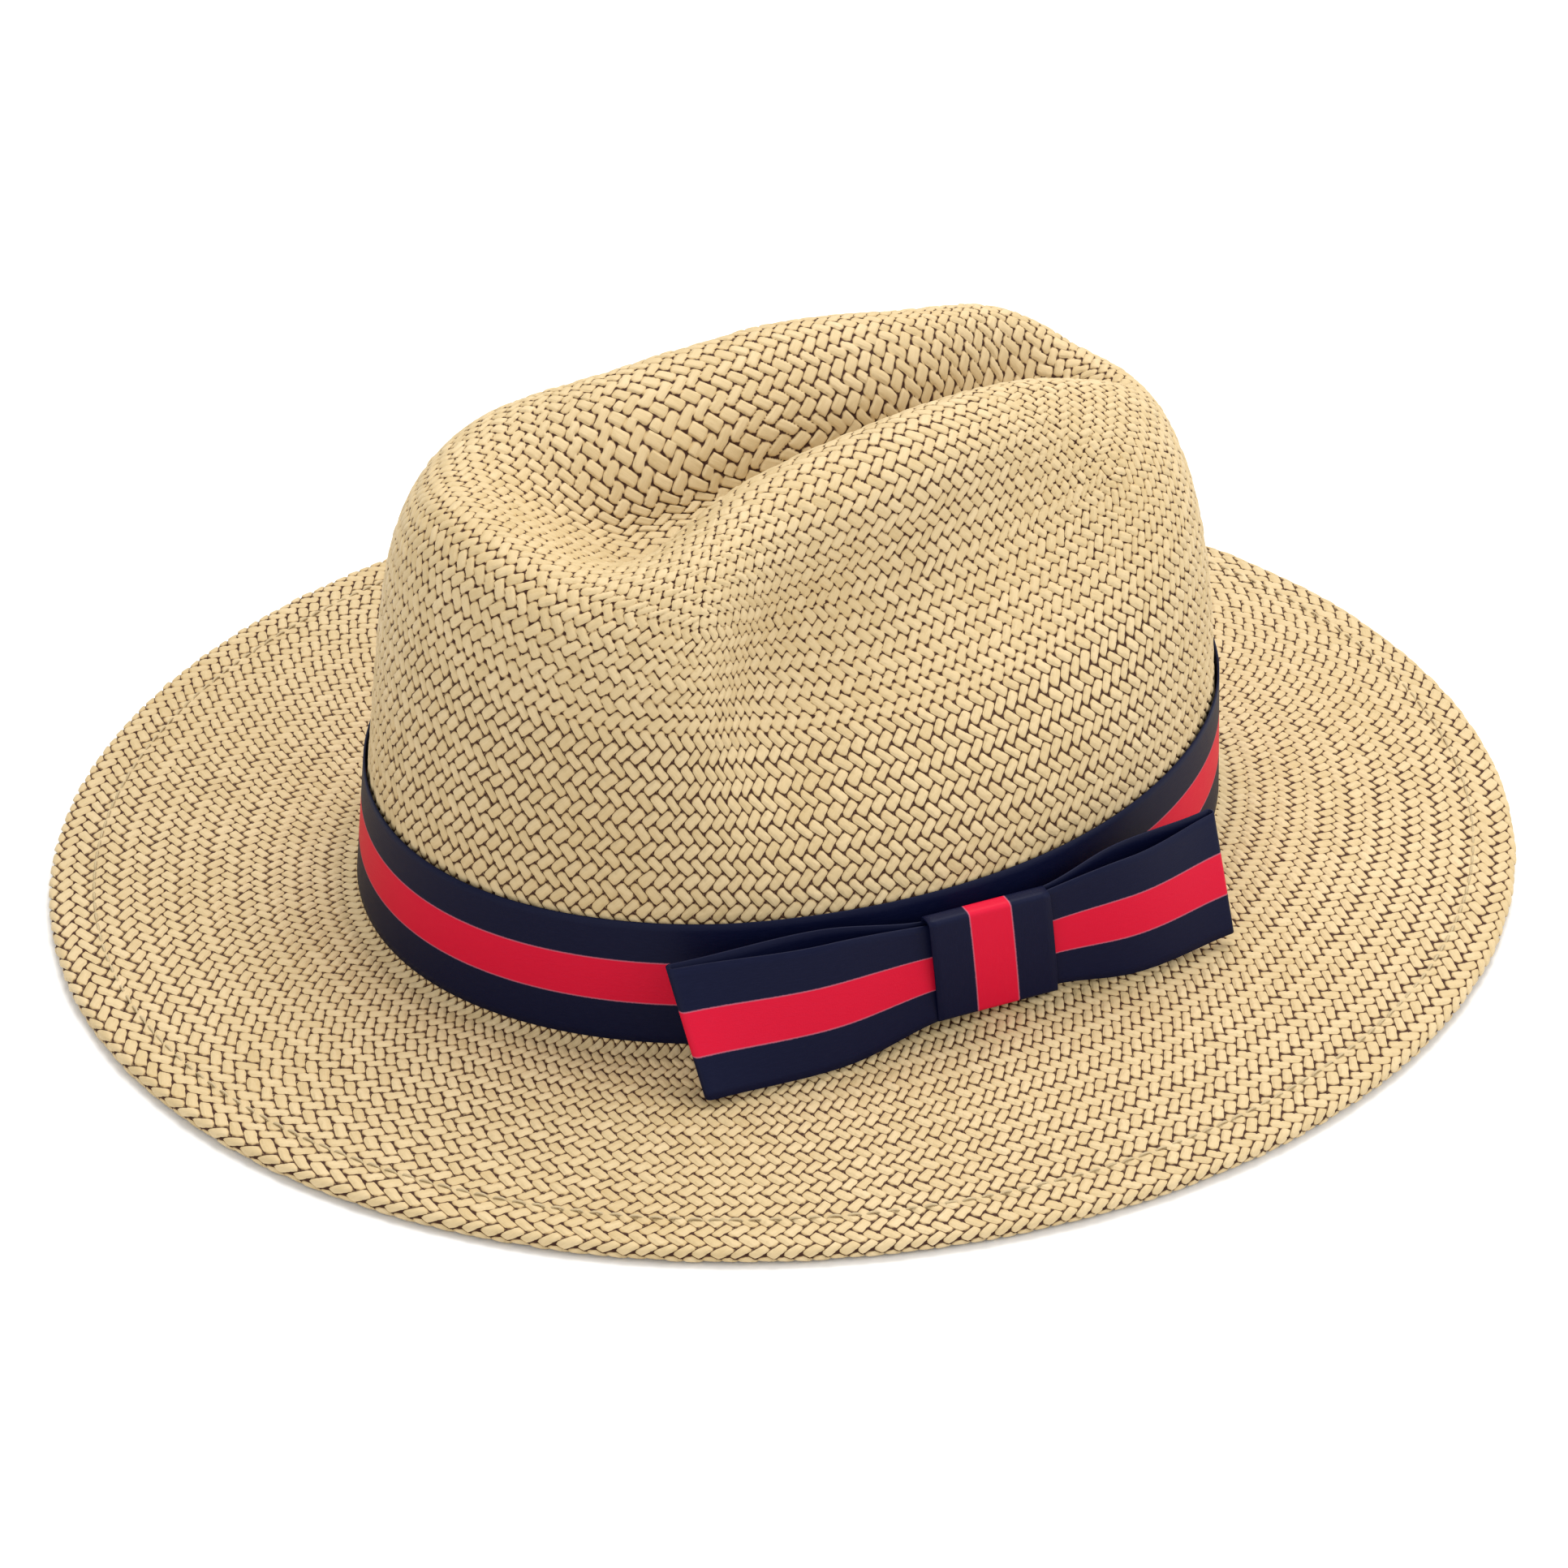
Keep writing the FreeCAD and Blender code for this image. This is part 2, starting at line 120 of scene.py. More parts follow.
def soft_light(name, place, size, power, tint=(1.0, 1.0, 1.0)):
    """Square area light of the given size, aimed at the middle of the hat."""
    data = bpy.data.lights.new(name, "AREA")
    data.shape = "SQUARE"
    data.size = size
    data.energy = power
    data.color = tint
    light = bpy.data.objects.new(name, data)
    light.location = place
    aim_at = HAT_MIDDLE - Vector(place)
    light.rotation_euler = aim_at.to_track_quat("-Z", "Y").to_euler()
    bpy.context.collection.objects.link(light)


soft_light("overhead", (-0.35, 0.35, 1.5), 1.0, 22.0, (1.0, 0.985, 0.96))
soft_light("from_right", (1.1, 0.9, 0.9), 0.8, 9.0)
soft_light("from_front", (0.9, -1.2, 0.7), 1.2, 6.0)

world = bpy.data.worlds.new("studio")
world.use_nodes = True
world.node_tree.nodes["Background"].inputs["Color"].default_value = (1.0, 1.0, 1.0, 1.0)
world.node_tree.nodes["Background"].inputs["Strength"].default_value = STUDIO_STRENGTH
bpy.context.scene.world = world
bpy.context.scene.view_settings.view_transform = "Standard"

# %% [markdown]
# ## The blocked shape
# The hat's surface is worked out from a few sizes.  The head oval comes from the ribbon band in
# the CAD model and the brim's reach from the straw's box; the block's own curves are repeated here
# in millimetres.

# %% Sizes taken from the frame
band_low, band_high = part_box("hat_band")
straw_low, straw_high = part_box("straw_body")
RIBBON_STANDS_OFF = 0.85

HEAD_HALF_LENGTH = round((band_high[1] - band_low[1]) / 2 / MM - RIBBON_STANDS_OFF, 0)
HEAD_HALF_WIDTH = round((band_high[0] - band_low[0]) / 2 / MM - RIBBON_STANDS_OFF, 0)
BRIM_WIDTH = round((straw_high[1] - straw_low[1]) / 2 / MM - HEAD_HALF_LENGTH, 0)
EGG = 0.035              # the head oval is this much wider behind than in front
EDGE_HEIGHT = 4.0        # the brim's edge over the table
FOOT_HEIGHT = 9.2        # the crown's foot over the table, halfway along
FOOT_LEAN = 0.047        # its rise towards the back
FOOT_RADIUS = 3.0        # the curve between crown and brim
STRAW = 1.1              # thickness of the plait
FOLD_RADIUS = 2.0        # the brim's edge, folded round its wire
HEM_WIDTH = 11.5
print("head oval", HEAD_HALF_LENGTH, HEAD_HALF_WIDTH, "brim", BRIM_WIDTH)

# %% [markdown]
# The head oval is an ellipse that is a little wider behind.  The brim follows it outwards and falls
# gently from the crown's foot to its edge.

# %% The head oval and the brim
BRIM_CURVE = 1.2


def head_oval(angle, grow=0.0):
    """Points on the head oval, moved out by grow (mm)."""
    c, s = np.cos(angle), np.sin(angle)
    half_width = HEAD_HALF_WIDTH * (1.0 + EGG * s)
    tangent_x = -half_width * s + HEAD_HALF_WIDTH * EGG * c * c
    tangent_y = HEAD_HALF_LENGTH * c
    length = np.hypot(tangent_x, tangent_y)
    return half_width * c + grow * tangent_y / length, HEAD_HALF_LENGTH * s - grow * tangent_x / length


def foot_height(y):
    return FOOT_HEIGHT + FOOT_LEAN * y


def brim_height(angle, grow):
    foot = foot_height(head_oval(angle)[1])
    across = np.clip(grow, 0.0, None) / BRIM_WIDTH
    return foot + (EDGE_HEIGHT - foot) * across ** BRIM_CURVE


# %% [markdown]
# The crown starts as a rounded box.  The teardrop is pushed into its top and a thumb and a finger
# pinch its front corners, just as the blocker does it by hand.

# %% The crown
CROWN_HEIGHT, CROWN_LEAN = 110.0, 0.027
RIDGE_RISE, RIDGE_SPREAD = 4.0, 36.0
TAPER, TAPER_SIDE = 0.060, 0.072
SQUARE_SIDE, SQUARE_FRONT, SQUARE_BACK = 3.4, 7.8, 4.6
DENT_DEPTH, DENT_HALF_WIDTH, DENT_NARROWS, DENT_TURN = 28.0, 24.0, 0.12, 0.019
DENT_FRONT, DENT_BACK, DENT_SQUARENESS = -92.8, 90.0, 3.0
DENT_RAMP_FRONT, DENT_RAMP_BACK = 54.0, 29.0
DENT_FADES, DENT_FULL = 0.45, 0.85
PINCH_DEPTH, PINCH_Y, PINCH_HEIGHT, PINCH_CLEAR = 11.0, -23.2, 95.3, 30.0
PINCH_FRONT, PINCH_BACK, PINCH_TALL = 27.7, 73.0, 28.6
HOLLOW_DEPTH, HOLLOW_Y, HOLLOW_HEIGHT, HOLLOW_CLIMB = 20.0, -12.0, 76.0, 0.2
HOLLOW_FRONT, HOLLOW_BACK, HOLLOW_TALL, HOLLOW_SQUARENESS = 40.0, 66.0, 22.0, 5.0


def smooth(t):
    t = np.clip(t, 0.0, 1.0)
    return t * t * (3.0 - 2.0 * t)


def crown_surface(angle, t):
    """Outside of the crown in mm; t is 0 at the middle of the top and 1 at the foot."""
    s = np.sin(angle)
    square = (SQUARE_SIDE + (SQUARE_BACK - SQUARE_SIDE) * np.clip(s, 0, 1) ** 2
              + (SQUARE_FRONT - SQUARE_SIDE) * np.clip(-s, 0, 1) ** 2)
    out = np.sin(t * math.pi / 2) ** (2 / square)
    height = np.clip(np.cos(t * math.pi / 2), 0, 1) ** (2 / square)
    x, y = head_oval(angle)
    narrowing = 1.0 - (TAPER + TAPER_SIDE * (1.0 - s * s)) * height
    x, y = x * out * narrowing, y * out * narrowing
    z = CROWN_HEIGHT * height * (1.0 - CROWN_LEAN * y / 100.0)
    z = z + RIDGE_RISE * height * np.exp(-(y / RIDGE_SPREAD) ** 2)
    along = smooth((y - DENT_FRONT) / DENT_RAMP_FRONT) * smooth((DENT_BACK - y) / DENT_RAMP_BACK)
    half_width = DENT_HALF_WIDTH - DENT_NARROWS * y
    across = np.exp(-(np.abs(x + DENT_TURN * y) / half_width) ** DENT_SQUARENESS)
    z = z - DENT_DEPTH * across * along * smooth((height - DENT_FADES) / (DENT_FULL - DENT_FADES))
    length = np.where(y < PINCH_Y, PINCH_FRONT, PINCH_BACK)
    reach = np.exp(-((y - PINCH_Y) / length) ** 2 - ((z - PINCH_HEIGHT) / PINCH_TALL) ** 2)
    x = x - np.sign(x) * PINCH_DEPTH * reach * smooth(np.abs(x) / PINCH_CLEAR)
    length = np.where(y < HOLLOW_Y, HOLLOW_FRONT, HOLLOW_BACK)
    below = (z - HOLLOW_HEIGHT - HOLLOW_CLIMB * (y - HOLLOW_Y)) / HOLLOW_TALL
    reach = np.exp(-np.abs((y - HOLLOW_Y) / length) ** HOLLOW_SQUARENESS - below ** 2)
    x = x - np.sign(x) * HOLLOW_DEPTH * reach * smooth(np.abs(x) / PINCH_CLEAR)
    return np.stack((x, y, z + foot_height(y)), axis=-1)


# %% [markdown]
# A sheet of straw is laid on a fine table of points: rows run from the middle of the hat outwards,
# columns run round it.  Rows are spaced evenly along the surface, so the plait isn't stretched.

# %% Tables of the surface
TABLE_ROWS, TABLE_COLUMNS = 500, 1440
TOP_POINTS, WALL_POINTS = 700, 500
WALL_STARTS, WALL_STOPS = 0.97, 1e-11
CROWN_ENDS = 1.5


def even_angles(count):
    """Angles that are evenly spaced along the head oval, starting at the back."""
    fine = np.linspace(0.5 * math.pi, 2.5 * math.pi, 4001)
    x, y = head_oval(fine)
    run = np.concatenate(([0], np.cumsum(np.hypot(np.diff(x), np.diff(y)))))
    return np.interp(np.linspace(0, run[-1], count + 1), run, fine)


def evenly_spaced(points, rows, ends=None):
    """Respace the rows of a table (rows, columns, 3) evenly along every column, up to its end."""
    steps = np.linalg.norm(np.diff(points, axis=0), axis=-1)
    run = np.concatenate((np.zeros((1, points.shape[1])), np.cumsum(steps, axis=0)))
    if ends is None:
        ends = np.full(points.shape[1], len(points) - 1)
    result = np.empty((rows + 1, points.shape[1], 3))
    for c, end in enumerate(ends):
        wanted = np.linspace(0, run[end, c], rows + 1)
        for k in range(3):
            result[:, c, k] = np.interp(wanted, run[:, c], points[:, c, k])
    return result, float(run[ends, np.arange(len(ends))].mean())


def table_normals(points):
    around = np.roll(points, -1, axis=1) - np.roll(points, 1, axis=1)
    around[:, 0] = points[:, 1] - points[:, -2]
    around[:, -1] = around[:, 0]
    along = np.gradient(points, axis=0)
    normals = np.cross(along, around)
    normals[0] = (0, 0, 1)
    return normals / (np.linalg.norm(normals, axis=-1, keepdims=True) + 1e-9)


angles = even_angles(TABLE_COLUMNS)
from_foot = np.geomspace(math.cos(WALL_STARTS * math.pi / 2), WALL_STOPS, WALL_POINTS)
wall_t = 1.0 - np.arcsin(from_foot) * 2 / math.pi
crown_t = np.concatenate((np.linspace(0, WALL_STARTS, TOP_POINTS), wall_t[1:]))
crown_raw = crown_surface(angles[None, :], crown_t[:, None])
crown_ends = np.argmax(crown_raw[..., 2] < foot_height(crown_raw[..., 1]) + CROWN_ENDS, axis=0)
crown_table, crown_run = evenly_spaced(crown_raw, TABLE_ROWS, crown_ends)
crown_normal = table_normals(crown_table)
print("crown, middle to foot", round(crown_run, 1), "mm")


# %% [markdown]
# The brim's sheet goes over the edge: it leaves the crown in a small curve, crosses the brim, rolls
# round the hidden wire and comes back underneath as the hem.

# %% The brim's section
CURVE_ROWS, ACROSS_ROWS, FOLD_ROWS, HEM_ROWS = 8, 60, 14, 16
ACROSS_STARTS = 0.5
HEM_THICKNESS = 2.6


def brim_section(angle):
    """Rows of points from the crown's foot over the brim and round its edge to the hem's end."""
    rows = []
    for turn in np.linspace(math.pi, 1.5 * math.pi, CURVE_ROWS):
        grow = FOOT_RADIUS * (1 + math.cos(turn))
        x, y = head_oval(angle, grow)
        rows.append((x, y, brim_height(angle, grow) + FOOT_RADIUS * (1 + math.sin(turn))))
    fold_start = BRIM_WIDTH - FOLD_RADIUS
    for grow in np.linspace(FOOT_RADIUS + ACROSS_STARTS, fold_start, ACROSS_ROWS):
        x, y = head_oval(angle, grow)
        rows.append((x, y, brim_height(angle, grow)))
    for turn in np.linspace(math.pi / 2, -math.pi / 2, FOLD_ROWS)[1:]:
        x, y = head_oval(angle, fold_start + FOLD_RADIUS * math.cos(turn))
        lift = brim_height(angle, fold_start)
        rows.append((x, y, lift - FOLD_RADIUS + FOLD_RADIUS * math.sin(turn)))
    hem_end = BRIM_WIDTH - HEM_WIDTH
    for f in np.linspace(0, 1, HEM_ROWS)[1:]:
        grow = fold_start + (hem_end - fold_start) * f
        x, y = head_oval(angle, grow)
        drop = 2 * FOLD_RADIUS + (HEM_THICKNESS - 2 * FOLD_RADIUS) * smooth(f)
        rows.append((x, y, brim_height(angle, grow) - drop))
    return np.stack([np.stack(np.broadcast_arrays(*row), axis=-1) for row in rows])


brim_table, brim_run = evenly_spaced(brim_section(angles), TABLE_ROWS)
brim_normal = table_normals(brim_table)
print("brim, foot to hem", round(brim_run, 1), "mm")

# %% [markdown]
# ## The plait
# Two families of strands cross, each at about 45 degrees to the brim's edge.  Each strand passes
# over two and under two, and the crossings step on by one, which draws the rings of slanting
# stitches.  U counts round the hat and V outwards; a = U + V and b = U - V number the strands.

# %% Strand numbers and the over-two, under-two rule
SIDE_POWER, END_POWER = 7.0, 9.0
ARCH = 0.25


def strand_cells(a, b, i, j, flip):
    """Which family is on top in cell (i, j), and where (a, b) lies along and across its float."""
    step = (i - j + 2 * flip) % 4
    first_on_top = step < 2
    length = np.where(first_on_top, step + a - i, 3 - step + b - j)
    across = np.where(first_on_top, b - j, a - i)
    strand = np.where(first_on_top, j, i)
    start = np.where(first_on_top, i - step, j - 3 + step)
    return first_on_top, length, across, strand, start


def scatter(strand, start, family):
    """Repeatable number from 0 to 1 for each float of straw."""
    value = np.sin(strand * 12.9898 + start * 78.233 + family * 37.719) * 43758.5453
    return value - np.floor(value)


def float_height(length, across):
    """Height of a float of straw over the gaps round it, from 0 to 1."""
    side = 1.0 - np.abs(2.0 * across - 1.0) ** SIDE_POWER
    ends = 1.0 - np.abs(np.clip(length, 0, 2) - 1.0) ** END_POWER
    arch = 1.0 - ARCH * (length - 1.0) ** 2
    return side * ends * arch


# %% [markdown]
# No strand is quite straight or quite as wide as the next, so each numbered line wanders a little.

# %% Wandering lines
WANDER = 0.12
WANDER_LINES = 997


def line_wander(lines, along, seed):
    """Sideways shift of each numbered line, changing slowly along it."""
    phase = np.sin(np.arange(WANDER_LINES) * 91.7 + seed) * 500.0
    low = np.floor(lines).astype(int)
    f = lines - low
    result = 0.0
    for part, weight in ((low, 1.0 - f), (low + 1, f)):
        p = phase[np.mod(part, WANDER_LINES)]
        slow, quick = np.sin(along * 0.55 + p), np.sin(along * 1.7 + p * 1.3)
        result = result + weight * (slow * 0.6 + quick * 0.4)
    return result * WANDER


# %% [markdown]
# The tables are read at fractional rows and columns, so a strand can lie anywhere on them.

# %% Reading a table
def sample(table, row, column):
    """Read a table at fractional rows and columns; columns go round, rows stop at the ends."""
    rows, columns = table.shape[0] - 1, table.shape[1] - 1
    row = np.clip(row, 0, rows - 1e-6)
    column = np.mod(column, columns)
    r, c = row.astype(int), column.astype(int)
    fr, fc = (row - r)[..., None], (column - c)[..., None]
    near = table[r, c] * (1 - fc) + table[r, c + 1] * fc
    far = table[r + 1, c] * (1 - fc) + table[r + 1, c + 1] * fc
    return near * (1 - fr) + far * fr


# %% [markdown]
# On the brim V simply grows outwards.  On the crown the plait begins as a square in the middle of
# the top and gains strands ring by ring until it is as wide as the head; after that it is only a
# tube.  The square's corners leave faint diagonal lines, as they do on a real plaited hat.

# %% Lattices of the brim and the crown
BRIM_STRANDS, BRIM_RINGS = 246, 25.5
CROWN_STRANDS, CROWN_RINGS = 176, 50
SQUARE_RINGS = CROWN_STRANDS // 8
SQUARE_ENDS, TUBE_STARTS = 0.2, 0.6


def brim_lattice(turn, out):
    return turn * BRIM_STRANDS, out * BRIM_RINGS


def crown_lattice(turn, out):
    quarter = np.floor(turn * 4 + 0.5)
    lean = (turn * 4 - quarter) * 2.0
    squareness = 1.0 - smooth((out - SQUARE_ENDS) / (TUBE_STARTS - SQUARE_ENDS))
    straight = np.tan(lean * math.pi / 4)
    place = (1 - squareness) * lean + squareness * straight
    ring = CROWN_RINGS * out * (1 - squareness + squareness * np.cos(lean * math.pi / 4))
    spread = np.minimum(ring, SQUARE_RINGS)
    return quarter * 2 * SQUARE_RINGS + spread * place, ring


# %% [markdown]
# `plait` lays a sheet: it numbers the grid's points, lets the lines wander, lifts the middle of
# every float and cuts each small square of the grid along the strand that crosses it, so that the
# strands keep their crisp edges.

# %% Laying a plaited sheet
STRAW_LIFT, STRAW_TILT = 0.62, 0.9
CENTRE_EASE = 6.0
SIDE_GAP, END_GAP = 2.4, 0.8
# The next values set the painted shade at the floats' corners: its strength and its reach.
CORNER_SHADE, CORNER_REACH = 0.16, 0.27
NUDGE = 0.03
STRAND_TINT = 0.4


def grid_faces(rows, columns, cut_first):
    """Triangles of a grid closed round the hat; cut_first says which way each square is cut."""
    r = np.repeat(np.arange(rows), columns)
    c = np.tile(np.arange(columns), rows)
    n = (c + 1) % columns
    p00, p01 = r * columns + c, r * columns + n
    p10, p11 = p00 + columns, p01 + columns
    one = np.where(cut_first[:, None, None],
                   np.stack((np.stack((p00, p10, p11), -1), np.stack((p00, p11, p01), -1)), 1),
                   np.stack((np.stack((p00, p10, p01), -1), np.stack((p10, p11, p01), -1)), 1))
    return one.reshape(-1, 3)


def plait(table, normal, lattice, strands, turns, outs, depth=0.0, flip=0, facing=1.0):
    """Points, triangles and per-point, per-face values of one plaited sheet."""
    turn, out = np.meshgrid(turns, outs)
    u, v = lattice(turn, out)
    a, b = u + v, u - v
    shift_a, shift_b = line_wander(a, b, 1.0), line_wander(b, a, 5.0)
    rings = lattice(np.zeros(1), np.ones(1))[1][0]
    sway_u, sway_v = 0.5 * (shift_a + shift_b), 0.5 * (shift_a - shift_b)
    ease = smooth(out * CENTRE_EASE)
    column = (turn + sway_u * ease / strands) * (table.shape[1] - 1)
    row = (out + sway_v * ease / rings) * (table.shape[0] - 1)
    place, lift = sample(table, row, column), sample(normal, row, column)
    i, j = np.floor(a + 1e-6), np.floor(b + 1e-6)
    first, length, across, strand, start = strand_cells(a, b, i, j, flip)
    height = float_height(length, across)
    loose = 0.75 + 0.5 * scatter(strand, start, first)
    tilt = (scatter(start, strand, first) - 0.5) * (across - 0.5) * STRAW_TILT
    place = place + lift * facing * (depth + STRAW_LIFT * (height * (loose + tilt) - 1.0))[..., None]
    # edge is each point's distance to its float's rim; the straw material paints shade from it, and it
    # dips near the corners so they get painted dark triangles.
    from_side, from_end = np.minimum(across, 1 - across), np.minimum(length, 2 - length)
    edge = np.minimum(SIDE_GAP * from_side, END_GAP * from_end)
    edge = edge - CORNER_SHADE * np.exp(-(np.hypot(from_side, from_end) / CORNER_REACH) ** 2)

    rows, columns = turn.shape[0] - 1, turn.shape[1]
    mid_u, mid_v = lattice(turn[:-1] + 0.5 * (turns[1] - turns[0]), 0.5 * (out[:-1] + out[1:]))
    mid_a, mid_b = (mid_u + mid_v).ravel(), (mid_u - mid_v).ravel()
    cut_first = np.abs(mid_a - np.round(mid_a)) > np.abs(mid_b - np.round(mid_b))
    faces = grid_faces(rows, columns, cut_first)
    nudge_a = np.where(cut_first, 0.0, NUDGE)
    nudge_b = np.where(cut_first, NUDGE, 0.0)
    face_a = np.stack((mid_a - nudge_a, mid_a + nudge_a), 1).ravel()
    face_b = np.stack((mid_b - nudge_b, mid_b + nudge_b), 1).ravel()
    fi, fj = np.floor(face_a), np.floor(face_b)
    face_first, _, _, face_strand, face_start = strand_cells(face_a, face_b, fi, fj, flip)
    tint = ((1.0 - STRAND_TINT) * scatter(face_strand, face_start, face_first)
            + STRAND_TINT * scatter(face_strand, 3.0, face_first))
    lattice_point = np.stack((a, b, np.zeros_like(a)), -1).reshape(-1, 3)
    if facing < 0:
        faces = faces[:, ::-1]
    return {"points": place.reshape(-1, 3), "faces": faces, "edge": edge.ravel(),
            "lattice": lattice_point, "family": face_first.astype(float), "tint": tint}


def joined(sheets):
    """Several sheets as one, with their points numbered on."""
    result = {key: np.concatenate([s[key] for s in sheets]) for key in sheets[0] if key != "faces"}
    start, faces = 0, []
    for sheet in sheets:
        faces.append(sheet["faces"] + start)
        start += len(sheet["points"])
    result["faces"] = np.concatenate(faces)
    return result


# %% [markdown]
# The mesh is filled straight from the arrays, and the strand numbers go along as attributes for
# the material.

# %% Mesh from arrays
def new_piece(name, points, faces, material, replaces, attributes=()):
    """Object from points in mm and equal-sided faces; it rides on the hat and replaces CAD nodes."""
    mesh = bpy.data.meshes.new(name)
    faces = np.asarray(faces, dtype=np.int32)
    sides = faces.shape[1]
    mesh.vertices.add(len(points))
    mesh.vertices.foreach_set("co", (np.asarray(points) * MM).astype(np.float32).ravel())
    mesh.loops.add(faces.size)
    mesh.loops.foreach_set("vertex_index", faces.ravel())
    mesh.polygons.add(len(faces))
    mesh.polygons.foreach_set("loop_start", np.arange(0, faces.size, sides, dtype=np.int32))
    mesh.polygons.foreach_set("use_smooth", np.ones(len(faces), dtype=bool))
    for key, kind, domain, values in attributes:
        layer = mesh.attributes.new(key, kind, domain)
        field = "vector" if kind == "FLOAT_VECTOR" else "value"
        layer.data.foreach_set(field, np.asarray(values, dtype=np.float32).ravel())
    mesh.update(calc_edges=True)
    mesh.validate()
    mesh.materials.append(material)
    piece = bpy.data.objects.new(name, mesh)
    bpy.context.collection.objects.link(piece)
    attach(piece, "root")
    if replaces:
        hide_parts(*replaces)
    print(name, len(points), "points", len(faces), "faces")
    return piece


# %% [markdown]
# ## Writing shaders as sums
# A small class wraps a node's output, so that shader arithmetic reads like ordinary Python.

# %% Shader arithmetic
class Look:
    """One material's node tree, with its Principled shader ready to be driven."""

    def __init__(self, name):
        self.material = bpy.data.materials.new(name)
        self.material.use_nodes = True
        self.tree = self.material.node_tree
        self.shader = self.tree.nodes["Principled BSDF"]

    def plug(self, socket, value):
        if isinstance(value, Wire):
            self.tree.links.new(value.socket, socket)
        else:
            socket.default_value = value

    def node(self, kind, settings, output, **inputs):
        """Any node: its type, its settings, the output wanted, then its sockets' values."""
        node = self.tree.nodes.new(kind)
        for key, value in settings.items():
            setattr(node, key, value)
        for key, value in inputs.items():
            self.plug(node.inputs[key.replace("_", " ")], value)
        return Wire(self, node.outputs[output])

    def math(self, operation, *values):
        node = self.tree.nodes.new("ShaderNodeMath")
        node.operation = operation
        for socket, value in zip(node.inputs, values):
            self.plug(socket, value)
        return Wire(self, node.outputs[0])

    def mix(self, factor, first, second):
        node = self.tree.nodes.new("ShaderNodeMix")
        node.data_type = "RGBA"
        self.plug(node.inputs[0], factor)
        self.plug(node.inputs[6], first)
        self.plug(node.inputs[7], second)
        return Wire(self, node.outputs[2])

    def point(self, x, y, z):
        return self.node("ShaderNodeCombineXYZ", {}, "Vector", X=x, Y=y, Z=z)

    def attribute(self, name, output="Fac"):
        return self.node("ShaderNodeAttribute", {"attribute_name": name}, output)

    def noise(self, place, scale, detail=2.0):
        return self.node("ShaderNodeTexNoise", {}, "Fac", Vector=place, Scale=scale, Detail=detail)

    def bump(self, height, strength, distance):
        return self.node("ShaderNodeBump", {}, "Normal", Height=height, Strength=strength,
                         Distance=distance)

    def drive(self, **sockets):
        for key, value in sockets.items():
            self.plug(self.shader.inputs[key.replace("_", " ")], value)
        return self.material


class Wire:
    """A node's output, with the arithmetic operators of a number."""

    def __init__(self, look, socket):
        self.look, self.socket = look, socket

    def __add__(self, other):
        return self.look.math("ADD", self, other)

    def __sub__(self, other):
        return self.look.math("SUBTRACT", self, other)

    def __rsub__(self, other):
        return self.look.math("SUBTRACT", other, self)

    def __mul__(self, other):
        return self.look.math("MULTIPLY", self, other)

    def __truediv__(self, other):
        return self.look.math("DIVIDE", self, other)

    def __rtruediv__(self, other):
        return self.look.math("DIVIDE", other, self)

    __radd__ = __add__
    __rmul__ = __mul__

    def clamped(self):
        node = self.look.math("ADD", self, 0.0)
        node.socket.node.use_clamp = True
        return node

    def eased(self, low, high):
        """0 below low, 1 above high, with an eased change between."""
        t = ((self - low) / (high - low)).clamped()
        return t * t * (3.0 - 2.0 * t)

    def part(self, axis):
        return self.look.node("ShaderNodeSeparateXYZ", {}, axis, Vector=self)


# %% [markdown]
# Paper straw is matt with a slight sheen.  Each float has its own tone and faint fibres run along it.
# Shade is painted into the straw's colour: a browner rim along each float's edge and near-black brown
# in the gaps between floats.

# %% Straw material
def straw_look(name):
    look = Look(name)
    lattice = look.attribute("lattice", "Vector")
    family = look.attribute("family")
    tint = look.attribute("tint")
    edge = look.attribute("edge")
    a, b = lattice.part("X"), lattice.part("Y")
    along = a * family + b * (1.0 - family)
    across = b * family + a * (1.0 - family)
    fibre = look.noise(look.point(along * 1.1, across * 9.0, tint * 40.0), 1.0, 3.0)
    blotch = look.noise(look.point(along * 0.9, across * 1.3, tint * 25.0), 1.2, 2.0)
    patch = look.noise(look.point(a * 0.05, b * 0.05, 0.0), 1.0, 2.0)
    tone = tint * 0.3 + blotch * 0.35 + fibre * 0.35 + patch * 0.4 - 0.22
    straw = look.mix(tone.clamped(), (0.430, 0.305, 0.130, 1), (0.680, 0.540, 0.330, 1))
    # Painted shade in the gaps between floats: near-black brown where a float's edge comes close,
    # wider in some patches than others.
    openness = 0.11 + (patch - 0.5) * 0.12
    gap = 1.0 - ((edge + (blotch - 0.5) * 0.06) / openness).eased(0.0, 1.0)
    # Painted shade along each float's edge, browner towards the gaps.
    shade = 1.0 - edge.eased(0.0, 0.24)
    edge_shaded = look.mix(shade * 0.45, straw, (0.420, 0.240, 0.060, 1))
    colour = look.mix(gap, edge_shaded, (0.040, 0.010, 0.002, 1))
    roughness = 0.50 + fibre * 0.18 + gap * 0.2
    height = fibre * 0.5 + blotch * 0.5
    normal = look.bump(height, 0.35, 0.0003)
    look.drive(Specular_IOR_Level=0.35)
    return look.drive(Base_Color=colour, Roughness=roughness, Normal=normal)


straw_material = straw_look("plaited_straw")

# %% [markdown]
# Four sheets make the straw body: the crown and the brim outside, and the same two seen from
# below.  GRID is how many grid steps cross one strand: more on the top, where the strands are
# wide, and fewer inside.  The inner brim sheet stops where the rolled edge hides it.

# %% The straw body
GRID, TOP_GRID, INNER_GRID = 6, 8, 4
UNDERSIDE_ENDS = 0.72


def steps(start, stop, rings, grid):
    return np.arange(round(start * rings * grid), round(stop * rings * grid) + 1) / (rings * grid)


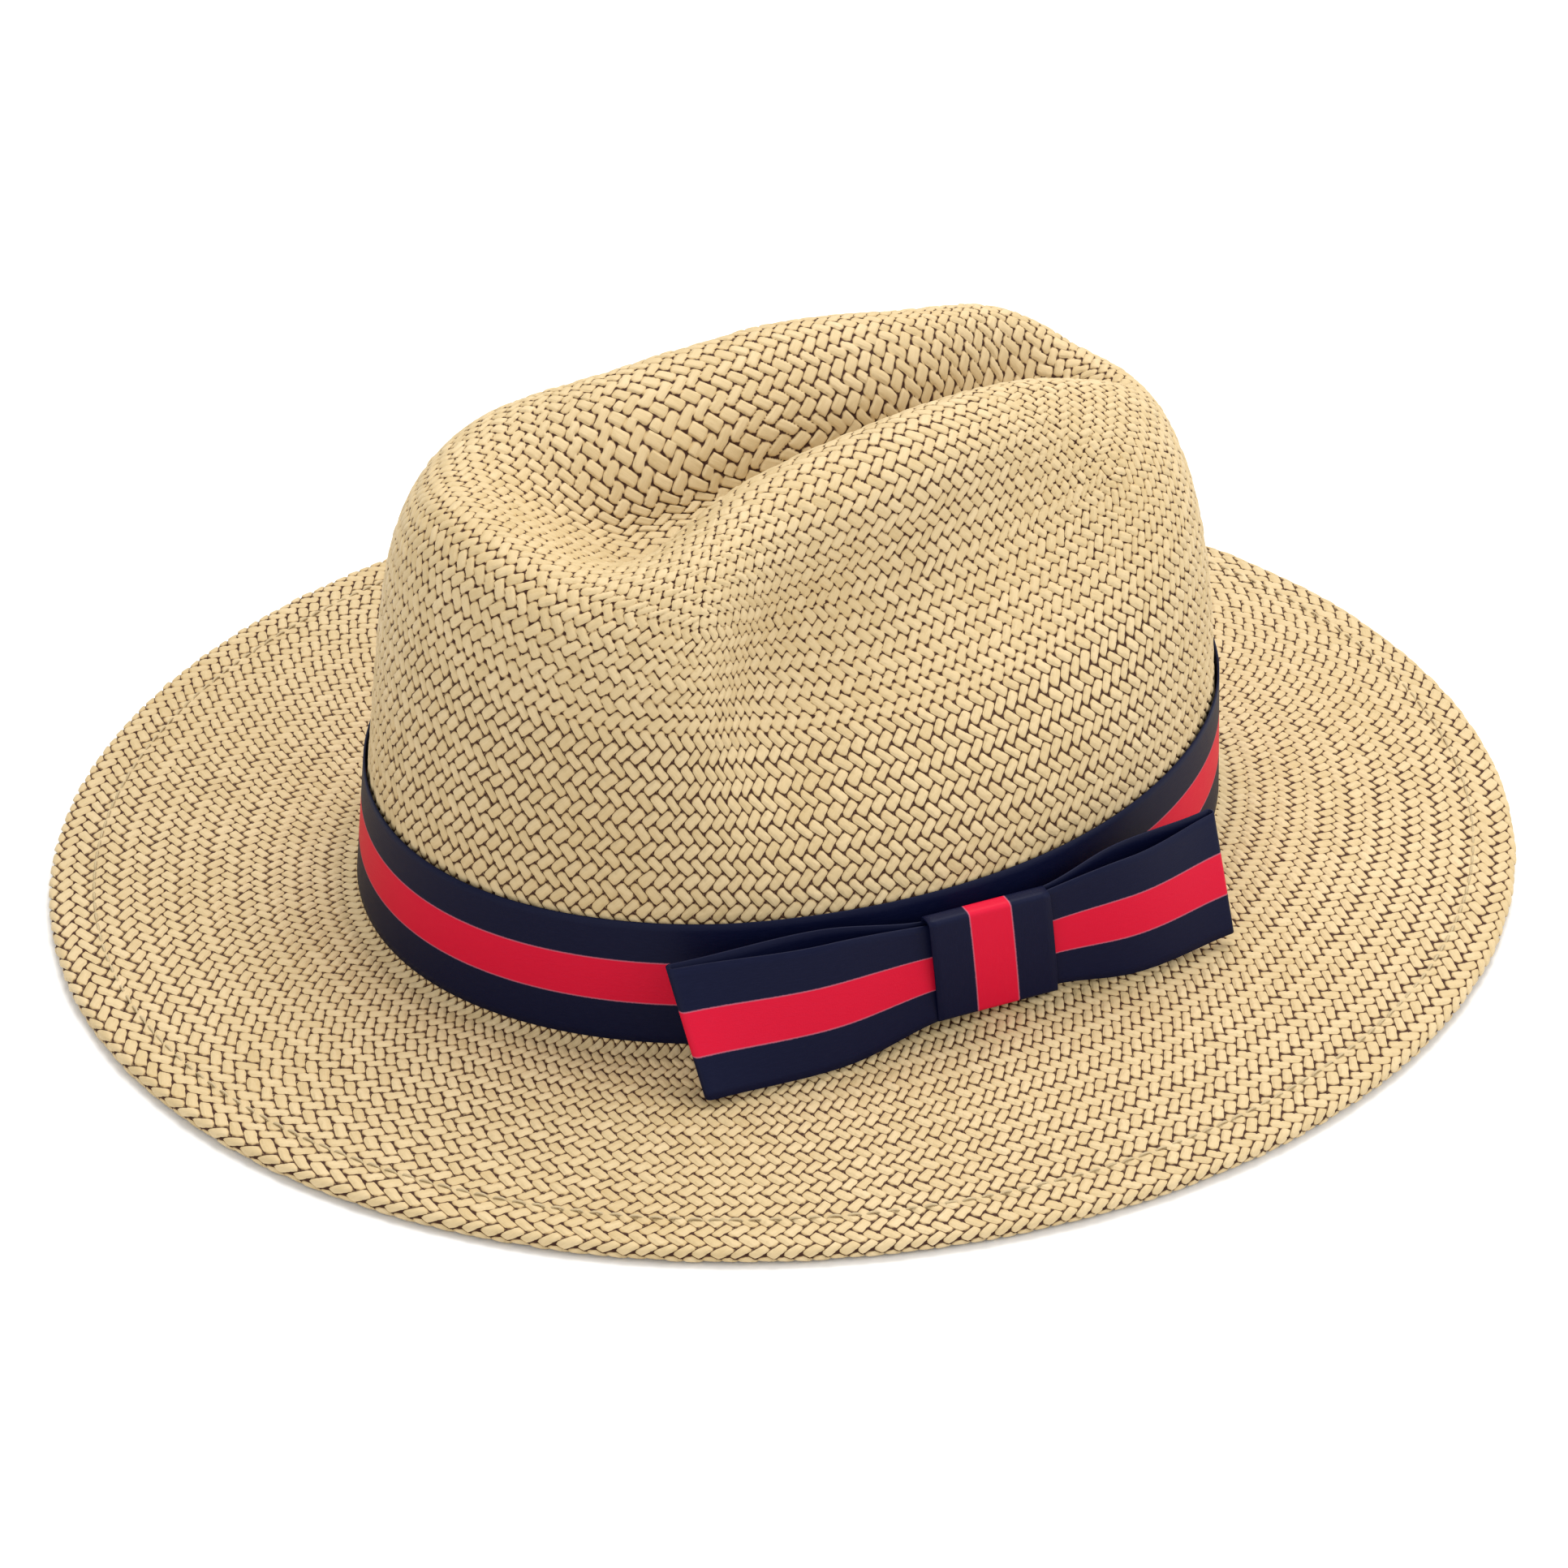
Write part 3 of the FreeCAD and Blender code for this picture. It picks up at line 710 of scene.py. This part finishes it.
around_crown = np.arange(CROWN_STRANDS * GRID) / (CROWN_STRANDS * GRID)
around_brim = np.arange(BRIM_STRANDS * GRID) / (BRIM_STRANDS * GRID)
crown_steps = np.unique(np.concatenate((steps(0.0, TUBE_STARTS, CROWN_RINGS, TOP_GRID),
                                        steps(TUBE_STARTS, 1.0, CROWN_RINGS, GRID))).round(9))
brim_steps = steps(0.0, 1.0, BRIM_RINGS, GRID)
crown_outside = plait(crown_table, crown_normal, crown_lattice, CROWN_STRANDS,
                      around_crown, crown_steps)
brim_outside = plait(brim_table, brim_normal, brim_lattice, BRIM_STRANDS,
                     around_brim, brim_steps)

inner_crown = np.arange(CROWN_STRANDS * INNER_GRID) / (CROWN_STRANDS * INNER_GRID)
inner_brim = np.arange(BRIM_STRANDS * INNER_GRID) / (BRIM_STRANDS * INNER_GRID)
crown_inside = plait(crown_table, crown_normal, crown_lattice, CROWN_STRANDS, inner_crown,
                     steps(0.0, 1.0, CROWN_RINGS, INNER_GRID), depth=STRAW, flip=1, facing=-1.0)
brim_under = plait(brim_table, brim_normal, brim_lattice, BRIM_STRANDS, inner_brim,
                   steps(0.0, UNDERSIDE_ENDS, BRIM_RINGS, INNER_GRID), depth=STRAW, flip=1,
                   facing=-1.0)
straw = joined([crown_outside, brim_outside, crown_inside, brim_under])
new_piece("straw_body_plait", straw["points"], straw["faces"], straw_material, ["straw_body"],
          [("edge", "FLOAT", "POINT", straw["edge"]),
           ("lattice", "FLOAT_VECTOR", "POINT", straw["lattice"]),
           ("family", "FLOAT", "FACE", straw["family"]),
           ("tint", "FLOAT", "FACE", straw["tint"])])

# %% [markdown]
# ## The ribbon
# One roll of satin makes the band, the bow and its keeper: navy with a red stripe a third as wide
# as the ribbon.  Every length of it is a closed loop, so one function lays them all: it takes the
# loop's two edges, inside and outside, and fills the width between with a few rows.

# %% Laying a ribbon
RIBBON_WIDTH, RIBBON = 29.0, 0.5
RIBBON_CLEARANCE = 0.35
RIBBON_ROWS = 16
EDGE_ROUND = 0.3


def ribbon_ring(name, inside, outside, material, nodes, belly=0.0, rows=RIBBON_ROWS):
    """Closed ribbon between inside = (low, high) and outside = (low, high) edge lines, in mm."""
    low_in, high_in = inside
    low_out, high_out = outside
    away = (low_out + high_out) - (low_in + high_in)
    away /= np.linalg.norm(away, axis=-1, keepdims=True) + 1e-9
    lines, across = [], []
    shares = np.linspace(0, 1, rows + 1)
    for f in shares:
        lines.append(low_out + (high_out - low_out) * f + away * belly * 4 * f * (1 - f))
        across.append(f)
    edge_round = EDGE_ROUND * RIBBON * (high_out - low_out) / RIBBON_WIDTH
    lines.append(0.5 * (high_in + high_out) + edge_round)
    across.append(1.0)
    for f in shares[::-1]:
        lines.append(low_in + (high_in - low_in) * f + away * belly * 4 * f * (1 - f))
        across.append(f)
    lines.append(0.5 * (low_in + low_out) - edge_round)
    across.append(0.0)
    points = np.stack(lines)
    around, count = points.shape[1], points.shape[0]
    r = np.repeat(np.arange(count), around)
    c = np.tile(np.arange(around), count)
    r2, c2 = (r + 1) % count, (c + 1) % around
    faces = np.stack((r * around + c, r * around + c2, r2 * around + c2, r2 * around + c), -1)
    middle = 0.5 * (low_out + high_out)
    run = np.concatenate(([0], np.cumsum(np.linalg.norm(np.diff(middle, axis=0), axis=-1))))
    share = np.repeat(np.array(across), around)
    piece = new_piece(name, points.reshape(-1, 3), faces, material, nodes,
                      [("across", "FLOAT", "POINT", share),
                       ("along", "FLOAT", "POINT", np.tile(run, count))])
    length = run[-1] + float(np.linalg.norm(middle[0] - middle[-1]))
    print(name, "length", round(length, 1), "mm")
    return piece, length


# %% [markdown]
# Satin shines along its warp: the threads run the length of the ribbon, so the grain is drawn out that
# way, and faint pale streaks of painted sheen follow it.  Where red meets navy a row of paler threads
# shows.

# %% Satin and cloth materials
def satin_look(name, colours, stripe_half=0.172):
    """Striped satin; colours are the ground, the stripe and the thread between them."""
    look = Look(name)
    across, along = look.attribute("across"), look.attribute("along")
    warp = look.noise(look.point(along * 0.35, across * 110.0, 0.0), 1.0, 2.0)
    weft = look.noise(look.point(along * 3.2, across * 60.0, 3.0), 1.0, 2.0)
    from_middle = look.math("ABSOLUTE", across - 0.5) + (weft - 0.5) * 0.008
    stripe = 1.0 - from_middle.eased(stripe_half - 0.003, stripe_half + 0.003)
    seam = 1.0 - look.math("ABSOLUTE", from_middle - stripe_half).eased(0.002, 0.009)
    ground, red, thread = colours
    colour = look.mix(stripe, ground, red)
    colour = look.mix(seam * 0.6, colour, thread)
    # Pale streaks along the warp: painted satin sheen.
    colour = look.mix((warp - 0.45).clamped() * 0.10, colour, (0.05, 0.06, 0.16, 1))
    roughness = 0.40 + warp * 0.14 + weft * 0.08
    look.drive(Specular_IOR_Level=0.12)
    return look.drive(Base_Color=colour, Roughness=roughness,
                      Normal=look.bump(warp * 0.6 + weft * 0.4, 0.16, 0.0003))


NAVY = (0.0015, 0.003, 0.021, 1)
RED = (0.56, 0.004, 0.030, 1)
EDGE_THREAD = (0.42, 0.13, 0.19, 1)
ribbon_material = satin_look("striped_satin", (NAVY, RED, EDGE_THREAD))


def cloth_look(name, light, dark, rib=0.0, scale=6.0):
    """Matt cloth with a fine weave; rib sets the depth of ribs across its width and paints shade into
    the grooves between them.
    """
    look = Look(name)
    across, along = look.attribute("across"), look.attribute("along")
    weave = look.noise(look.point(along * 3.0, across * 80.0, 0.0), scale * 0.3, 3.0)
    worn = look.noise(look.point(along * 0.08, across * 2.0, 5.0), 1.0, 3.0)
    ribs = look.math("SINE", along * 6.2) * 0.5 + 0.5
    # ribs * rib paints shade into the grooves between the ribs that the bump raises.
    tone = weave * 0.4 + worn * 0.4 + ribs * rib
    colour = look.mix(tone.clamped(), dark, light)
    return look.drive(Base_Color=colour, Roughness=0.75 + weave * 0.2,
                      Normal=look.bump(weave + ribs * rib * 3.0, 0.35, 0.0004))


# %% [markdown]
# The band lies on the crown's wall just above the brim.  Its length is the way round at its middle.
# It isn't glued flat: its upper edge lifts a little here and there.

# %% The hat band
BAND_RISE = 1.2
AROUND_RIBBON = 720
WALL_FROM = 200
EDGE_LIFT = 0.18


def wall_line(height, out, count=AROUND_RIBBON):
    """Line round the crown's wall, height above its foot and out from the straw (mm)."""
    turns = even_angles(count)[:-1]
    wall = crown_surface(turns[None, :], crown_t[WALL_FROM:, None])
    above = wall[..., 2] - foot_height(wall[..., 1])
    line = np.empty((count, 3))
    for c in range(count):
        for k in range(3):
            line[c, k] = np.interp(-height, -above[:, c], wall[:, c, k])
    ahead, behind = head_oval(turns + 0.01), head_oval(turns - 0.01)
    normal = np.stack((ahead[1] - behind[1], behind[0] - ahead[0], np.zeros(count)), -1)
    normal /= np.linalg.norm(normal, axis=-1, keepdims=True)
    return line + normal * np.reshape(out, (-1, 1))


wave = np.arange(AROUND_RIBBON) * 2 * math.pi / AROUND_RIBBON
edge_lift = EDGE_LIFT * (1 + np.sin(wave * 5 + 1.0) * np.sin(wave * 3 + 0.4))
BAND_TOP = BAND_RISE + RIBBON_WIDTH
band_inside = (wall_line(BAND_RISE, RIBBON_CLEARANCE),
               wall_line(BAND_TOP, RIBBON_CLEARANCE + edge_lift))
band_outside = (wall_line(BAND_RISE, RIBBON_CLEARANCE + RIBBON),
                wall_line(BAND_TOP, RIBBON_CLEARANCE + RIBBON + edge_lift))
hat_band, band_run = ribbon_ring("hat_band_ribbon", band_inside, band_outside, ribbon_material,
                                 ["hat_band"])

# %% [markdown]
# The bow is a flat tailored one.  A length of ribbon is folded into two loops that meet at the
# back, and a short piece, the keeper, is wrapped round its waist.  The loops stand off the crown
# because the crown curves away behind them, and their lower edges flare.

# %% The bow's line
BOW_FRONT, BOW_MIDDLE, BOW_BACK = (75.0, -73.2), (86.6, -5.0), (89.0, 53.7)
BOW_HEIGHT = 15.0
BOW_FLARE_FRONT, BOW_FLARE_BACK = 6.4, 3.6
BOW_LEAN, BOW_LEAN_CHANGE = 1.7, 0.65
LOOP_PUFF, LOOP_END, LOOP_WAIST = 2.6, 0.7, 0.6
LOOP_CLOSES, LOOP_OPENS, LOOP_OPENS_OVER = 0.4, 0.22, 0.38
GATHER_STARTS, GATHER_OVER = 0.15, 0.4
FLARE_POWER = 1.5
WAIST, KEEPER_WIDTH = 0.84, 29.0
KEEPER_CLEARANCE = 0.35
bow_half = 0.5 * (np.array(BOW_BACK) - BOW_FRONT)
bow_bend = 0.5 * (np.array(BOW_BACK) + BOW_FRONT) - BOW_MIDDLE


def bow_frame(w):
    """Middle line of the bow with its direction and outward normal; w is -1 at the front end."""
    w = np.reshape(w, (-1, 1))
    place = np.array(BOW_MIDDLE) + bow_half * w + bow_bend * w * w
    tangent = bow_half + 2.0 * bow_bend * w
    tangent /= np.linalg.norm(tangent, axis=-1, keepdims=True)
    return place, tangent, np.stack((tangent[:, 1], -tangent[:, 0]), -1)


def loop_gap(w):
    """Half the gap between a loop's two layers."""
    close = smooth((1.0 - np.abs(w)) / LOOP_CLOSES)
    puffed = LOOP_END + (LOOP_PUFF - LOOP_END) * close
    return LOOP_WAIST + (puffed - LOOP_WAIST) * smooth((np.abs(w) - LOOP_OPENS) / LOOP_OPENS_OVER)


def bow_edge(w, out, edge):
    """Points on the bow's ribbon; edge is -1 for its lower edge and 1 for its upper edge."""
    place, tangent, normal = bow_frame(w)
    flare = np.where(w < 0, BOW_FLARE_FRONT, BOW_FLARE_BACK) * np.abs(w) ** FLARE_POWER
    width = WAIST + (1.0 - WAIST) * smooth((np.abs(w) - GATHER_STARTS) / GATHER_OVER)
    rise = np.sqrt((0.5 * RIBBON_WIDTH * width) ** 2 - flare ** 2)
    lean = BOW_LEAN - BOW_LEAN_CHANGE * w
    place = place + normal * (out - edge * flare)[:, None] - tangent * (edge * lean)[:, None]
    return np.column_stack((place, foot_height(place[:, 1]) + BOW_HEIGHT + edge * rise))


# %% [markdown]
# Each loop's ribbon turns back on itself at the bow's ends.  Its line runs along the outer layer,
# round the end, back along the inner layer and round the other end.

# %% The loops
LOOP_STEPS, LOOP_TURN, LOOP_TURN_STEPS = 90, 75, 9
loop_w = np.linspace(-1, 1, LOOP_STEPS)
bow_length = float(np.linalg.norm(np.array(BOW_BACK) - BOW_FRONT)) / 2.0


def loop_line(extra, edge):
    """Closed line round both loops along one edge of the ribbon."""
    turn = np.radians(np.linspace(LOOP_TURN, -LOOP_TURN, LOOP_TURN_STEPS))
    over, swing = (LOOP_END + extra) * np.cos(turn) / bow_length, (LOOP_END + extra) * np.sin(turn)
    w = np.concatenate((loop_w, 1.0 + over, loop_w[::-1], -1.0 - over))
    gap = loop_gap(loop_w) + extra
    out = np.concatenate((gap, swing, -gap[::-1], -swing))
    return bow_edge(w, out, edge)


bow_loops, loops_run = ribbon_ring("bow_loops_ribbon", (loop_line(0.0, -1), loop_line(0.0, 1)),
                                   (loop_line(RIBBON, -1), loop_line(RIBBON, 1)),
                                   ribbon_material, ["bow_loops"])

# %% [markdown]
# The keeper is a short length of the same ribbon.  It makes a rounded rectangle round the bow's
# waist, bulges a little where it crosses the loops and leans with them.

# %% The keeper
KEEPER_BULGE = 0.35
CORNER_STEPS = 7
KEEPER_STEPS = 110
place, keeper_along, keeper_out = (v[0] for v in bow_frame(np.zeros(1)))
keeper_middle = np.array([*place, foot_height(place[1]) + BOW_HEIGHT])
along_bow, out_of_bow = np.array([*keeper_along, 0.0]), np.array([*keeper_out, 0.0])
upward = np.array([0.0, 0.0, 1.0])


def keeper_line(extra, end):
    """Rounded rectangle round the bow's waist at one edge of the keeper's ribbon."""
    half_thick = LOOP_WAIST + RIBBON + KEEPER_CLEARANCE + extra
    half_tall = 0.5 * RIBBON_WIDTH * WAIST + 2.0 * KEEPER_CLEARANCE + extra
    radius = RIBBON + extra
    points = []
    for quarter, (a, b) in enumerate(((1, 1), (-1, 1), (-1, -1), (1, -1))):
        for turn in np.radians(90.0 * quarter + np.linspace(0, 90, CORNER_STEPS)):
            out = a * (half_thick - radius) + radius * math.cos(turn)
            rise = b * (half_tall - radius) + radius * math.sin(turn)
            points.append((out, rise))
    corners = np.array(points + points[:1])
    line = []
    for (out, rise), (next_out, next_rise) in zip(corners[:-1], corners[1:]):
        pieces = max(1, round(math.hypot(next_out - out, next_rise - rise)))
        for k in range(pieces):
            f = k / pieces
            line.append((out + (next_out - out) * f, rise + (next_rise - rise) * f))
    out, rise = np.array(line).T
    bulge = KEEPER_BULGE * np.sign(out) * np.clip(1.0 - (rise / half_tall) ** 2, 0, 1)
    shift = end * 0.5 * KEEPER_WIDTH - BOW_LEAN * rise / (0.5 * RIBBON_WIDTH * WAIST)
    return (keeper_middle + out_of_bow * (out + bulge)[:, None] + upward * rise[:, None]
            + along_bow * shift[:, None])


def respaced(line, count):
    """The closed line with count points spaced evenly round it."""
    closed = np.concatenate((line, line[:1]))
    run = np.concatenate(([0], np.cumsum(np.linalg.norm(np.diff(closed, axis=0), axis=-1))))
    wanted = np.linspace(0, run[-1], count, endpoint=False)
    return np.stack([np.interp(wanted, run, closed[:, k]) for k in range(3)], -1)


keeper_inside = [respaced(keeper_line(0.0, end), KEEPER_STEPS) for end in (-1, 1)]
keeper_outside = [respaced(keeper_line(RIBBON, end), KEEPER_STEPS) for end in (-1, 1)]
bow_keeper, keeper_run = ribbon_ring("bow_keeper_ribbon", keeper_inside, keeper_outside,
                                     ribbon_material, ["bow_keeper"])

# %% [markdown]
# ## Inside the hat
# A cotton tape sweatband lines the head opening, sewn in near its lower edge.  It stands a little
# off the straw here and there.  A small blank size tag is caught under it at the back.

# %% The sweatband
SWEATBAND_HEIGHT, SWEATBAND = 33.0, 0.9
SWEATBAND_CLEARANCE, SWEATBAND_RISE = 0.4, 1.0
SWEATBAND_PUFF, SWEATBAND_BELLY = 0.35, 0.3
sweat_out = -(STRAW + SWEATBAND_CLEARANCE)
sweat_in = sweat_out - SWEATBAND
tape_material = cloth_look("ribbed_tape", (0.30, 0.23, 0.14, 1), (0.17, 0.125, 0.07, 1), rib=0.25)
puff = SWEATBAND_PUFF * (1 + np.sin(wave * 7 + 0.7) * np.sin(wave * 4))
sweat_top, sweat_low = SWEATBAND_RISE + SWEATBAND_HEIGHT, SWEATBAND_RISE
sweatband, sweat_run = ribbon_ring(
    "sweatband_tape",
    (wall_line(sweat_low, sweat_out), wall_line(sweat_top, sweat_out - puff)),
    (wall_line(sweat_low, sweat_in), wall_line(sweat_top, sweat_in - puff)),
    tape_material, ["sweatband"], belly=SWEATBAND_BELLY)

# %% [markdown]
# The tag is a thin closed block of cloth: levels of a flat loop, one above another, with a cap at
# the bottom and one at the top.  It curls a little towards its upper edge.

# %% The size tag
TAG, TAG_CURL, TAG_BOW = 0.4, 0.6, 0.4
TAG_COLUMNS, TAG_LEVELS = 23, 16
TAG_LOOP = 2 * TAG_COLUMNS
tag_low, tag_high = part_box("size_tag")
tag_across = np.linspace(tag_low[0], tag_high[0], TAG_COLUMNS) / MM
tag_up = np.linspace(tag_low[2], tag_high[2], TAG_LEVELS) / MM


def tag_line(z):
    """One level of the tag, run along its front and back again, as a flat closed loop."""
    curl = TAG_CURL * ((z - tag_up[0]) / (tag_up[-1] - tag_up[0]) - 0.5)
    middle = 0.5 * (tag_low[1] + tag_high[1]) / MM
    bow_in = TAG_BOW * (1 - (tag_across / tag_across.max()) ** 2)
    level = np.full(TAG_COLUMNS, z)
    front = np.column_stack((tag_across, middle - 0.5 * TAG + curl - bow_in, level))
    rear = np.column_stack((tag_across, middle + 0.5 * TAG + curl - bow_in, level))
    return np.concatenate((front, rear[::-1]))


tag_points = np.concatenate([tag_line(z) for z in tag_up])
tag_faces = []
for level in range(TAG_LEVELS - 1):
    for k in range(TAG_LOOP):
        a, b = level * TAG_LOOP + k, level * TAG_LOOP + (k + 1) % TAG_LOOP
        tag_faces.append((a, b, b + TAG_LOOP, a + TAG_LOOP))
for base, turned in ((0, True), ((TAG_LEVELS - 1) * TAG_LOOP, False)):
    for k in range(TAG_COLUMNS - 1):
        cap = (base + k, base + k + 1, base + TAG_LOOP - 2 - k, base + TAG_LOOP - 1 - k)
        tag_faces.append(cap[::-1] if turned else cap)
tag_material = cloth_look("tag_cotton", (0.72, 0.70, 0.65, 1), (0.50, 0.48, 0.43, 1))
new_piece("size_tag_cloth", tag_points, tag_faces, tag_material, ["size_tag"],
          [("across", "FLOAT", "POINT", np.repeat(np.linspace(0, 1, TAG_LEVELS), TAG_LOOP)),
           ("along", "FLOAT", "POINT", tag_points[:, 0] + 20.0)])

# %% [markdown]
# ## Thread and wire
# Machine stitches hold the hem down and the sweatband in.  Each stitch is a short thread that dives
# into the cloth at both ends; there are a few hundred in a row.

# %% Stitches
STITCH, STITCH_GAP, THREAD_RADIUS = 3.4, 0.7, 0.3
THREAD_THIN, STITCH_DIP, LOOK_AHEAD = 0.55, 0.7, 0.3


def stitch_row(name, path, up, material, node, sides=6, parts=6):
    """Row of separate stitches along a closed path (mm), humped along the directions up."""
    closed, lift = np.concatenate((path, path[:1])), np.concatenate((up, up[:1]))
    run = np.concatenate(([0], np.cumsum(np.linalg.norm(np.diff(closed, axis=0), axis=-1))))
    count = int(run[-1] // (STITCH + STITCH_GAP))
    pitch = run[-1] / count
    share = np.linspace(0, 1, parts + 1)
    s = (np.arange(count)[:, None] * pitch + share * (pitch - STITCH_GAP)).ravel()
    place = np.stack([np.interp(s, run, closed[:, k]) for k in range(3)], -1)
    ahead = np.stack([np.interp((s + LOOK_AHEAD) % run[-1], run, closed[:, k]) for k in range(3)], -1)
    raised = np.stack([np.interp(s, run, lift[:, k]) for k in range(3)], -1)
    along = ahead - place
    along /= np.linalg.norm(along, axis=-1, keepdims=True) + 1e-9
    level = np.cross(along, raised)
    hump = np.tile(np.sin(share * math.pi) ** 0.5, count)
    thick = THREAD_RADIUS * (THREAD_THIN + (1.0 - THREAD_THIN) * hump)
    place = place + raised * (hump - 1.0)[:, None] * STITCH_DIP
    turn = np.arange(sides) * 2 * math.pi / sides
    turn_out = level[:, None] * np.cos(turn)[:, None] + raised[:, None] * np.sin(turn)[:, None]
    rings = place[:, None] + thick[:, None, None] * turn_out
    faces = []
    for k in range(count):
        for p in range(parts):
            a = (k * (parts + 1) + p) * sides
            for q in range(sides):
                n = (q + 1) % sides
                faces.append((a + q, a + n, a + sides + n, a + sides + q))
        first, last = k * (parts + 1) * sides, (k * (parts + 1) + parts) * sides
        faces.append((first + 3, first + 2, first + 1, first))
        faces.append((first + 5, first + 4, first + 3, first))
        faces.append((last, last + 1, last + 2, last + 3))
        faces.append((last, last + 3, last + 4, last + 5))
    points = rings.reshape(-1, 3)
    new_piece(name, points, faces, material, [node],
              [("across", "FLOAT", "POINT", np.tile(turn, len(place)) / (2 * math.pi)),
               ("along", "FLOAT", "POINT", np.repeat(s, sides))])


thread_material = cloth_look("straw_thread", (0.62, 0.50, 0.31, 1), (0.42, 0.32, 0.17, 1))
STITCH_INSET, STITCH_RISE, SWEAT_STITCH_HEIGHT = 1.5, 0.25, 4.0
STITCH_GROW = BRIM_WIDTH - HEM_WIDTH + STITCH_INSET
around = even_angles(AROUND_RIBBON)[:-1]
hem_x, hem_y = head_oval(around, STITCH_GROW)
hem_path = np.column_stack((hem_x, hem_y, brim_height(around, STITCH_GROW) + STITCH_RISE))
straight_up = np.tile((0.0, 0.0, 1.0), (AROUND_RIBBON, 1))
stitch_row("hem_stitches", hem_path, straight_up, thread_material,
           "hem_stitching")
sweat_path = wall_line(SWEAT_STITCH_HEIGHT, sweat_in - THREAD_RADIUS * 0.4)
inward = (wall_line(SWEAT_STITCH_HEIGHT, sweat_in - 1.0)
          - wall_line(SWEAT_STITCH_HEIGHT, sweat_in))
stitch_row("sweatband_stitches", sweat_path, inward, thread_material,
           "sweatband_stitching")

# %% [markdown]
# The wire in the brim's edge stays the CAD solid: it is hidden in the fold, and only needs steel.

# %% Brim wire
def wire_look():
    look = Look("drawn_wire")
    place = look.node("ShaderNodeTexCoord", {}, "Object")
    drawn = look.noise(place, 900.0, 2.0)
    dull = look.noise(place, 60.0, 3.0)
    colour = look.mix(drawn * 0.5 + dull * 0.3, (0.36, 0.36, 0.37, 1), (0.60, 0.60, 0.61, 1))
    look.drive(Metallic=1.0)
    return look.drive(Base_Color=colour, Roughness=0.3 + drawn * 0.2,
                      Normal=look.bump(drawn, 0.1, 0.0002))


brim_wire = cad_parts["brim_wire"]
brim_wire.data.materials.clear()
brim_wire.data.materials.append(wire_look())
